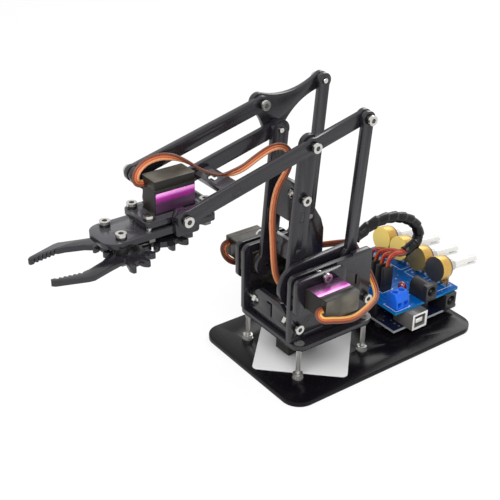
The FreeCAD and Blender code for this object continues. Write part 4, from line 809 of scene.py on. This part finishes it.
class ARM_OT_gripper_lead(Operator):
    """Flat lead from the gripper's servo, along the forearm and down into the turret"""

    bl_idname = "arm.gripper_lead"
    bl_label = "Gripper Lead"

    # Each stretch: name, last route point, the two bodies, and where the lead leaves one and joins the other.
    STRETCHES = (
        ("hand", 9, "gripper", "forearm", (97.0, -8.0, 141.0), (62.0, -1.0, 129.0)),
        ("forearm", 12, "forearm", "triangle", (54.0, 3.0, 130.0), (32.0, 5.0, 138.0)),
        ("elbow", 15, "triangle", "upper_arm", (29.0, 5.0, 138.0), (17.8, 2.0, 123.0)),
        ("drop", 28, "upper_arm", "turret", (20.0, -1.0, 113.0), (22.0, -3.4, 74.0)),
    )
    EDGE_ON = (0.5, 0.1, -0.7)
    # Share of the way along, and where the flat side looks there.
    FACING = ((0.0, NEAR_UP), (0.2, NEAR_UP), (0.26, EDGE_ON),
              (0.31, EDGE_ON), (0.36, NEAR_UP), (1.0, NEAR_UP))

    def execute(self, context):
        points = route_line(GRIP_ROUTE)
        frames = line_frames(points, self.FACING)
        first = 0
        for name, stop, upper, lower, start, end in self.STRETCHES:
            target = Vector(GRIP_ROUTE[stop]) * MM
            last = min(range(first + 1, len(points)), key=lambda i: (points[i] - target).length)
            mesh = lead_mesh("lead_" + name, frames[first:last + 1], GRIP_TONES)
            piece = new_piece("gripper_lead_" + name, mesh, None, ("gripper_lead",))
            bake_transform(piece)
            first = last
        return {"FINISHED"}


class ARM_OT_turret_leads(Operator):
    """Leads of the two servos that stand in the turret, and the ends that run into the wrap"""

    bl_idname = "arm.turret_leads"
    bl_label = "Turret Leads"

    # Name, colours, route, and the node that it stands for.
    LEADS = (("near_lead", NEAR_TONES, NEAR_ROUTE, ("turret_leads",)),
             ("far_lead", FAR_TONES_IN_PAINTED_SHADE, FAR_ROUTE, ("turret_leads",)),
             ("gripper_lead_tail", GRIP_TONES, GRIP_TAIL, ()),
             ("near_lead_tail", NEAR_TONES, NEAR_TAIL, ()),
             ("far_lead_tail", FAR_TONES_IN_PAINTED_SHADE, FAR_TAIL, ()))

    def execute(self, context):
        for name, tones, route, nodes in self.LEADS:
            frames = line_frames(route_line(route), ((0.0, NEAR_UP), (1.0, NEAR_UP)))
            new_piece(name, lead_mesh(name, frames, tones), "turret", nodes)
        return {"FINISHED"}


class ARM_OT_servo_wires(Operator):
    """Loose wires from the end of the wrap to the servo plugs"""

    bl_idname = "arm.servo_wires"
    bl_label = "Servo Wires"

    TONES = ("brown", "red", "orange")
    # Where each set of wires leaves the wrap, across and up from its middle.
    STARTS_MM = ((1.8, -0.9), (0.6, 0.9), (-0.6, -0.9), (-1.8, 0.9))
    # The wires run straight, bend up, arch over the plugs and drop into them.
    STRAIGHT_MM = 2.6
    BEND_MM = 6.0
    BEND_RISE_MM = 1.6
    ARCH_BACK_MM = 1.2
    ARCH_RISE_MM = 6.7
    DROP_MM = 3.5
    # Shares of the way across to its plug that a set has gone there.
    BEND_SHARE = 0.35
    ARCH_SHARE = 0.75

    def execute(self, context):
        sizes = context.scene.arm_sizes
        end = Vector(SLEEVE_ROUTE[-1])
        ahead = (end - Vector(SLEEVE_ROUTE[-2])).normalized()
        across = ahead.cross(Vector((0, 0, 1))).normalized()
        upward = across.cross(ahead)
        facing = ((0.0, upward), (0.5, (0.2, 0.6, 0.8)), (1.0, (0, 1, 0)))
        for i, (y, (side, rise)) in enumerate(zip(PLUG_Y_MM, self.STARTS_MM)):
            start = end + across * side + upward * rise
            bend = start + ahead * self.BEND_MM
            bend += Vector((0.0, self.BEND_SHARE * (y - start.y), self.BEND_RISE_MM))
            across_mm = start.y + self.ARCH_SHARE * (y - start.y)
            arch = (PLUG_X_MM - self.ARCH_BACK_MM, across_mm, PLUG_TOP_MM + self.ARCH_RISE_MM)
            route = [start, start + ahead * self.STRAIGHT_MM, bend, arch,
                     (PLUG_X_MM, y, PLUG_TOP_MM + self.DROP_MM), (PLUG_X_MM, y, PLUG_TOP_MM)]
            frames = line_frames(route_line(route), facing)
            mesh = ribbon_mesh("wires", frames, self.TONES, sizes.wire_radius, sizes.wire_pitch)
            new_piece("servo_wires_%d" % (i + 1), mesh, "base", ("servo_wires",))
        return {"FINISHED"}


class ARM_OT_sleeve(Operator):
    """Spiral wrap that holds the leads between the turret and the board"""

    bl_idname = "arm.sleeve"
    bl_label = "Spiral Wrap"

    # Sides of a ring.
    SIDES = 28
    # Share of a turn over which the wrap rises before it drops to the next one.
    RISING = 0.86
    CREASED_FROM = math.radians(28.0)

    def execute(self, context):
        sizes = context.scene.arm_sizes
        line = route_line(SLEEVE_ROUTE)
        points = [line[0]]
        # The turns of the wrap need one more ring between each two points of the line.
        for a, b in zip(line, line[1:]):
            points += [a.lerp(b, 0.5), b]
        frames = line_frames(points, ((0.0, (0, 1, 0)), (1.0, (0, 1, 0))))
        travel = [0.0]
        for a, b in zip(points, points[1:]):
            travel.append(travel[-1] + (b - a).length)

        def ring(number):
            rim = []
            for i in range(self.SIDES):
                angle = 2 * math.pi * i / self.SIDES
                turn = (travel[number] / sizes.wrap_pitch - i / self.SIDES) % 1.0
                rise = turn / self.RISING if turn < self.RISING else (1.0 - turn) / (1.0 - self.RISING)
                r = sizes.sleeve_radius - sizes.wrap_step * (1.0 - rise)
                rim.append((r * math.cos(angle), r * math.sin(angle)))
            return rim

        work = bmesh.new()
        sweep(work, frames, ring)
        bmesh.ops.recalc_face_normals(work, faces=work.faces)
        mesh = mesh_of(work, "sleeve_dressed", spiral_wrap())
        smooth(mesh, self.CREASED_FROM)
        piece = new_piece("sleeve_dressed", mesh, None, ("sleeve",))
        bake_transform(piece)
        return {"FINISHED"}


class ARM_OT_sheet_plates(Operator):
    """Plates, strips and jaws cut from black acrylic"""

    bl_idname = "arm.sheet_plates"
    bl_label = "Acrylic Sheet"

    ARM = ("fixed_plate", "turret_plate", "side_plate_near", "side_plate_far", "cross_plate_front",
           "cross_plate_rear", "servo_collars", "upper_arm_near", "upper_arm_far", "arm_brace", "triangle",
           "forearm_near", "forearm_far", "top_link", "rear_link", "lever", "push_rod",
           "bracket_near", "bracket_far", "drive_gear", "jaw_near", "jaw_far")
    # These pieces carry the brightest painted light on their upper faces.
    HAND = ("gripper_plate", "gripper_collar", "forearm_brace")

    def execute(self, context):
        for nodes, which in ((self.ARM, "sheet"), (self.HAND, "hand"), (("base_plate",), "base")):
            for node in nodes:
                ease_node(node, context.scene.arm_sizes.sheet_ease, polished_sheet(which))
        return {"FINISHED"}


class ARM_OT_screws(Operator):
    """Cap screws, nuts and standoffs, set where the frame's own solids stand"""

    bl_idname = "arm.screws"
    bl_label = "Screws"

    NODES = ("base_fasteners", "turret_fasteners", "arm_fasteners", "triangle_bolts", "forearm_bolts",
             "gripper_fasteners", "lever_pin")
    # Nuts of these nodes lie in the dark under their plates, and carry painted shade.
    SHADED = ("gripper_fasteners",)
    NUT_SHADE = 0.85
    # Fasteners of these nodes are long posts between two plates.
    POSTS = ("base_fasteners",)
    # How near a solid comes to a size that it is known by.
    FIT = 0.1 * MM
    HEAD_SIDES = 30
    SHANK_SIDES = 12
    BORE_SIDES = 20
    RINGS_PER_TURN = 3.0
    THREAD_DEPTH = 0.05

    def execute(self, context):
        trees = {"screw": self.screw_tree(), "nut": self.nut_tree()}
        for node in self.NODES:
            self.dress(node, trees, context.scene.arm_sizes)
        return {"FINISHED"}

    def dress(self, node, trees, sizes):
        """Dressed stand-in for a node: new screws and nuts in their places, and its other solids eased."""
        work = merged(node)
        places = {}
        plain = set()
        for solid in self.solids(work):
            kind, seat, axis, length = self.read(solid, sizes)
            if kind == "plain":
                plain.update(solid)
            else:
                places.setdefault((kind, round(length / MM, 1)), []).append((seat, axis))
        bmesh.ops.delete(work, geom=[v for v in work.verts if v not in plain], context="VERTS")
        steel = stainless_steel("post" if node in self.POSTS else "cap")
        mesh = eased_mesh(work, node + "_dressed", sizes.post_ease, steel)
        joined = bmesh.new()
        joined.from_mesh(mesh)
        shade = self.NUT_SHADE if node in self.SHADED else 0.0
        for (kind, length), found in places.items():
            part = self.set_of(trees[kind], found, length * MM, sizes, shade)
            joined.from_mesh(part)
            bpy.data.meshes.remove(part)
        joined.to_mesh(mesh)
        joined.free()
        smooth(mesh)
        new_piece(node + "_dressed", mesh, BODY_OF[node], (node,))

    def solids(self, work):
        """Corners of each separate solid."""
        left = dict.fromkeys(work.verts)
        groups = []
        while left:
            group = [left.popitem()[0]]
            for corner in group:
                for edge in corner.link_edges:
                    near = edge.other_vert(corner)
                    if near in left:
                        del left[near]
                        group.append(near)
            groups.append(group)
        return groups

    def read(self, solid, sizes):
        """What a solid is, where its head sits, which way the head faces, and how long its shank is."""
        low = Vector([min(v.co[k] for v in solid) for k in range(3)])
        high = Vector([max(v.co[k] for v in solid) for k in range(3)])
        span = high - low
        middle = (low + high) * 0.5
        k = min(range(3), key=lambda i: abs(span[(i + 1) % 3] - span[(i + 2) % 3]))
        axis = Vector([1.0 if i == k else 0.0 for i in range(3)])

        def reach(level):
            found = [v.co - middle for v in solid if abs(v.co[k] - level) < 2 * self.FIT]
            return max((p - axis * p[k]).length for p in found)

        wide = (reach(low[k]), reach(high[k]))
        way = axis if wide[1] > wide[0] else -axis
        has_head = abs(max(wide) - sizes.head_radius) < self.FIT
        has_shank = abs(min(wide) - sizes.shank_radius) < self.FIT
        if has_head and has_shank and span[k] > sizes.head_height:
            top = middle + way * (0.5 * span[k])
            return "screw", top - way * sizes.head_height, way, span[k] - sizes.head_height
        is_hex = abs(max(wide) - sizes.nut_flats / math.sqrt(3)) < self.FIT
        if is_hex and abs(span[k] - sizes.nut_height) < self.FIT:
            return "nut", middle - axis * (0.5 * span[k]), axis, sizes.nut_height
        return "plain", middle, axis, span[k]

    def set_of(self, tree, found, length, sizes, shade):
        """Mesh of the tree's pieces standing on the found seats."""
        mesh = bpy.data.meshes.new("seats")
        mesh.from_pydata([seat for seat, _ in found], [], [])
        facing = mesh.attributes.new("facing", "FLOAT_VECTOR", "POINT")
        for value, (_, axis) in zip(facing.data, found):
            value.vector = axis
        holder = in_scene("seats", mesh)
        modifier = holder.modifiers.new("set", "NODES")
        modifier.node_group = tree
        values = {"Length": length, "Head Radius": sizes.head_radius, "Head Height": sizes.head_height,
                  "Socket": sizes.socket_flats / math.sqrt(3), "Socket Depth": sizes.socket_depth,
                  "Shank Radius": sizes.shank_radius, "Thread Pitch": sizes.thread_pitch,
                  "Nut Radius": sizes.nut_flats / math.sqrt(3), "Shade": shade}
        for item in tree.interface.items_tree:
            if item.name in values:
                modifier[item.identifier] = values[item.name]
        return finished(holder)

    def new_tree(self, name, inputs):
        """Empty tree that takes seats and sizes and gives pieces."""
        tree = bpy.data.node_groups.new(name, "GeometryNodeTree")
        tree.interface.new_socket("Seats", in_out="INPUT", socket_type="NodeSocketGeometry")
        for label in inputs:
            tree.interface.new_socket(label, in_out="INPUT", socket_type="NodeSocketFloat")
        tree.interface.new_socket("Pieces", in_out="OUTPUT", socket_type="NodeSocketGeometry")
        return Wiring(tree)

    def ring_prism(self, wiring, outer, outer_sides, inner, inner_sides, height, base):
        """Upright ring between two outlines, standing at base."""
        lines = [wiring.add("GeometryNodeCurvePrimitiveCircle", None, {"Resolution": sides, "Radius": radius})
                 for sides, radius in ((inner_sides, inner), (outer_sides, outer))]
        face = wiring.add("GeometryNodeFillCurve", None, {"Curve": wiring.join(*lines)})
        rise = {"Mesh": face, "Offset": wiring.upward(1.0), "Offset Scale": height, "Individual": False}
        wall = wiring.add("GeometryNodeExtrudeMesh", None, rise)
        under = wiring.add("GeometryNodeFlipFaces", None, {"Mesh": face})
        return wiring.lift(wiring.join(under, wall), base)

    def shaded(self, wiring, piece, share):
        """Stores painted shade on a piece of a fastener: how much darker its steel is coloured."""
        return wiring.add("GeometryNodeStoreNamedAttribute", {"data_type": "FLOAT", "domain": "POINT"},
                          {"Geometry": piece, "Name": "deep", "Value": share})

    def stand(self, wiring, seats, *pieces):
        """Joins the pieces, sets one on each seat and gives them their steel."""
        kind = {"data_type": "FLOAT_VECTOR"}
        facing = wiring.add("GeometryNodeInputNamedAttribute", kind, {"Name": "facing"})
        turn = wiring.add("FunctionNodeAlignRotationToVector", {"axis": "Z"}, {"Vector": facing})
        each = {"Points": seats, "Instance": wiring.join(*pieces), "Rotation": turn}
        placed = wiring.add("GeometryNodeInstanceOnPoints", None, each)
        solid = wiring.add("GeometryNodeRealizeInstances", None, {"Geometry": placed})
        steel = {"Geometry": solid, "Material": stainless_steel("cap")}
        wiring.add("NodeGroupOutput", None, {0: wiring.add("GeometryNodeSetMaterial", None, steel)})
        return wiring.tree

    def screw_tree(self):
        """Head with a hexagon socket on a threaded shank; the seat is the origin and the head faces up."""
        wiring = self.new_tree("cap_screws", (
            "Length", "Head Radius", "Head Height", "Socket", "Socket Depth", "Shank Radius", "Thread Pitch"))
        given = wiring.add("NodeGroupInput", output="Seats")
        head, depth = given.part("Head Radius"), given.part("Socket Depth")
        length, pitch = given.part("Length"), given.part("Thread Pitch")
        floor = given.part("Head Height") - depth
        top = self.ring_prism(wiring, head, self.HEAD_SIDES, given.part("Socket"), 6, depth, floor)
        drum = wiring.add("GeometryNodeMeshCylinder", None, {
            "Vertices": self.HEAD_SIDES, "Radius": head, "Depth": floor}, "Mesh")
        # The lower head and the socket's floor carry full painted shade.
        drum = self.shaded(wiring, wiring.lift(drum, floor * 0.5), 1.0)
        shank = wiring.add("GeometryNodeMeshCylinder", None, {
            "Vertices": self.SHANK_SIDES, "Side Segments": length / pitch * self.RINGS_PER_TURN,
            "Radius": given.part("Shank Radius"), "Depth": length}, "Mesh")
        shank = wiring.lift(shank, length * -0.5)
        x = wiring.add("ShaderNodeSeparateXYZ", None, {0: wiring.add("GeometryNodeInputPosition")})
        y, z = x.part("Y"), x.part("Z")
        cut = (z / pitch * (2.0 * math.pi)).sine() * self.THREAD_DEPTH + (1.0 - self.THREAD_DEPTH)
        moved = wiring.add("ShaderNodeCombineXYZ", None, {"X": x * cut, "Y": y * cut, "Z": z})
        shank = wiring.add("GeometryNodeSetPosition", None, {"Geometry": shank, "Position": moved})
        return self.stand(wiring, given, top, drum, shank)

    def nut_tree(self):
        """Hexagon nut standing on its seat."""
        wiring = self.new_tree("hexagon_nuts", ("Length", "Nut Radius", "Shank Radius", "Shade"))
        given = wiring.add("NodeGroupInput", output="Seats")
        rim, bore = given.part("Nut Radius"), given.part("Shank Radius")
        nut = self.ring_prism(wiring, rim, 6, bore, self.BORE_SIDES, given.part("Length"), 0.0)
        return self.stand(wiring, given, self.shaded(wiring, nut, given.part("Shade")))


class ARM_OT_servos(Operator):
    """Servo cases of smoky plastic, and foil labels on the near, far and gripper servos"""

    bl_idname = "arm.servos"
    bl_label = "Servos"

    # Node, and where its palest face looks; that face carries painted light.
    CASES = (("base_servo", "up"), ("near_servo", "near"), ("far_servo", "up"), ("gripper_servo", "up"))
    # Node, where the axis of its shaft meets its back, the way ahead from there, and where its label looks.
    LABELS = (
        ("near_servo", (SHOULDER_X_MM, TURRET_SERVO_BACK_Y_MM, SHOULDER_Z_MM), (0, -1, 0), (0, 0, 1)),
        ("far_servo", (SHOULDER_X_MM, -TURRET_SERVO_BACK_Y_MM, SHOULDER_Z_MM), (0, 1, 0), (0, 0, -1)),
        ("gripper_servo", GRIP_SERVO_BACK_MM, (0, 0, -1), (0, 1, 0)))

    def execute(self, context):
        sizes = context.scene.arm_sizes
        for node, back in self.CASES:
            ease_node(node, sizes.moulded_ease, smoky_case(back))
        for node, back_mm, ahead, outward in self.LABELS:
            self.add_label(sizes, node, Vector(back_mm) * MM, Vector(ahead), Vector(outward))
        return {"FINISHED"}

    def add_label(self, sizes, node, back, ahead, outward):
        """Foil label with round corners on one broad face of a case."""
        long = Vector((-1, 0, 0))
        start = back + ahead * sizes.foil_inset + outward * (0.5 * SERVO_W_MM * MM)
        ends = (-SERVO_SHORT_MM * MM + sizes.moulded_ease, SERVO_LONG_MM * MM - sizes.moulded_ease)
        corner = sizes.foil_corner
        outline = []
        for sx, sy, first in ((1, 1, 0.0), (0, 1, 90.0), (0, 0, 180.0), (1, 0, 270.0)):
            u = ends[sx] + (1 - 2 * sx) * corner
            v = sy * sizes.foil_width + (1 - 2 * sy) * corner
            for step in range(5):
                turn = math.radians(first + 22.5 * step)
                outline.append((u + corner * math.cos(turn), v + corner * math.sin(turn)))
        work = bmesh.new()
        uv = work.loops.layers.uv.new("label")
        faces = [(start + outward * lift, long, ahead) for lift in (0.0, sizes.foil_proud)]
        sweep(work, faces, lambda number: outline)
        bmesh.ops.recalc_face_normals(work, faces=work.faces)
        for face in work.faces:
            face.smooth = False
            for loop in face.loops:
                place = loop.vert.co - start
                share = (place.dot(long) - ends[0]) / (ends[1] - ends[0])
                loop[uv].uv = (share, place.dot(ahead) / sizes.foil_width)
        mesh = mesh_of(work, node + "_foil", foil_label())
        new_piece(node + "_foil", mesh, BODY_OF[node])


class ARM_OT_boards(Operator):
    """The two boards with their connectors, light and printed lines"""

    bl_idname = "arm.boards"
    bl_label = "Boards"

    # Connectors with printed frames round them, and the room in each frame.
    FRAMED_MM = (("terminal_block", 0.8), ("status_led", 0.7), ("servo_header", 0.8))
    POT_FRAME_X_MM = (-99.5, -86.5)
    POT_FRAME_HALF_MM = 6.6
    LINE_LIFT_MM = 0.03

    def execute(self, context):
        sizes = context.scene.arm_sizes
        paint_node("controller_board", circuit_board("board"))
        paint_node("shield_board", circuit_board("shield"))
        for node in ("power_jacks", "board_headers", "servo_header", "servo_plugs"):
            ease_node(node, CONNECTOR_EASE * sizes.moulded_ease, moulded("black"))
        ease_node("terminal_block", CONNECTOR_EASE * sizes.moulded_ease, moulded("block"))
        ease_node("usb_socket", SMALL_EASE * sizes.moulded_ease, tinned_metal("shell"))
        paint_node("status_led", lamp_lens())
        self.add_lines(sizes.line_width / MM)
        return {"FINISHED"}

    def add_lines(self, wide):
        """Thin printed frames round the connectors and the pots of the upper board."""
        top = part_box("shield_board")[1][2] / MM + self.LINE_LIFT_MM
        frames = []
        for node, room in self.FRAMED_MM:
            a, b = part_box(node)
            frames.append((a[0] / MM - room, a[1] / MM - room, b[0] / MM + room, b[1] / MM + room))
        back, front = self.POT_FRAME_X_MM
        for i in range(POT_COUNT):
            y = POT_FIRST_Y_MM - i * POT_PITCH_MM
            frames.append((back, y - self.POT_FRAME_HALF_MM, front, y + self.POT_FRAME_HALF_MM))
        work = bmesh.new()
        for x0, y0, x1, y1 in frames:
            for a, b, c, d in ((x0, y0, x1, y0 + wide), (x0, y1 - wide, x1, y1), (x0, y0, x0 + wide, y1),
                               (x1 - wide, y0, x1, y1)):
                corners = ((a, b), (c, b), (c, d), (a, d))
                work.faces.new([work.verts.new(Vector((x, y, top)) * MM) for x, y in corners])
        new_piece("board_lines", mesh_of(work, "board_lines", moulded("marks")), "base")


class ARM_OT_pots(Operator):
    """Control pots and their bare shafts"""

    bl_idname = "arm.pots"
    bl_label = "Pots"

    def execute(self, context):
        ease = context.scene.arm_sizes.moulded_ease
        ease_node("pots", SMALL_EASE * ease, pot_finish())
        for i in range(POT_COUNT):
            ease_node("pot_shaft_%d" % (i + 1), SHAFT_EASE * ease, tinned_metal("shaft"))
        return {"FINISHED"}


class ARM_OT_small_parts(Operator):
    """White sheet, black posts and spacers, and the horn under the turret"""

    bl_idname = "arm.small_parts"
    bl_label = "Small Parts"

    def execute(self, context):
        ease = context.scene.arm_sizes.moulded_ease
        paint_node("base_sheet", paper_sheet())
        for node, which in (("board_posts", "black"), ("jaw_spacers", "black"), ("base_horn", "cream")):
            ease_node(node, SMALL_EASE * ease, moulded(which))
        return {"FINISHED"}


class ARM_PT_pieces(Panel):
    """Lists what dresses the arm"""

    bl_idname = "ARM_PT_pieces"
    bl_label = "Robot Arm"
    bl_space_type = "VIEW_3D"
    bl_region_type = "UI"
    bl_category = "Robot Arm"

    def draw(self, context):
        for operator in OPERATORS:
            self.layout.operator(operator.bl_idname)
        for group in (context.scene.arm_sizes, context.scene.arm_colours):
            for name in group.bl_rna.properties.keys():
                if name not in {"rna_type", "name"}:
                    self.layout.prop(group, name)


OPERATORS = (
    ARM_OT_stage, ARM_OT_gripper_lead, ARM_OT_turret_leads, ARM_OT_servo_wires, ARM_OT_sleeve,
    ARM_OT_sheet_plates, ARM_OT_screws, ARM_OT_servos, ARM_OT_boards, ARM_OT_pots, ARM_OT_small_parts)
CLASSES = (ArmSizes, ArmColours) + OPERATORS + (ARM_PT_pieces,)


def register():
    for cls in CLASSES:
        bpy.utils.register_class(cls)
    bpy.types.Scene.arm_sizes = PointerProperty(type=ArmSizes)
    bpy.types.Scene.arm_colours = PointerProperty(type=ArmColours)


def unregister():
    del bpy.types.Scene.arm_colours
    del bpy.types.Scene.arm_sizes
    for cls in reversed(CLASSES):
        bpy.utils.unregister_class(cls)


def main():
    register()
    for operator in OPERATORS:
        group, name = operator.bl_idname.split(".")
        getattr(getattr(bpy.ops, group), name)()


if __name__ == "__main__":
    main()
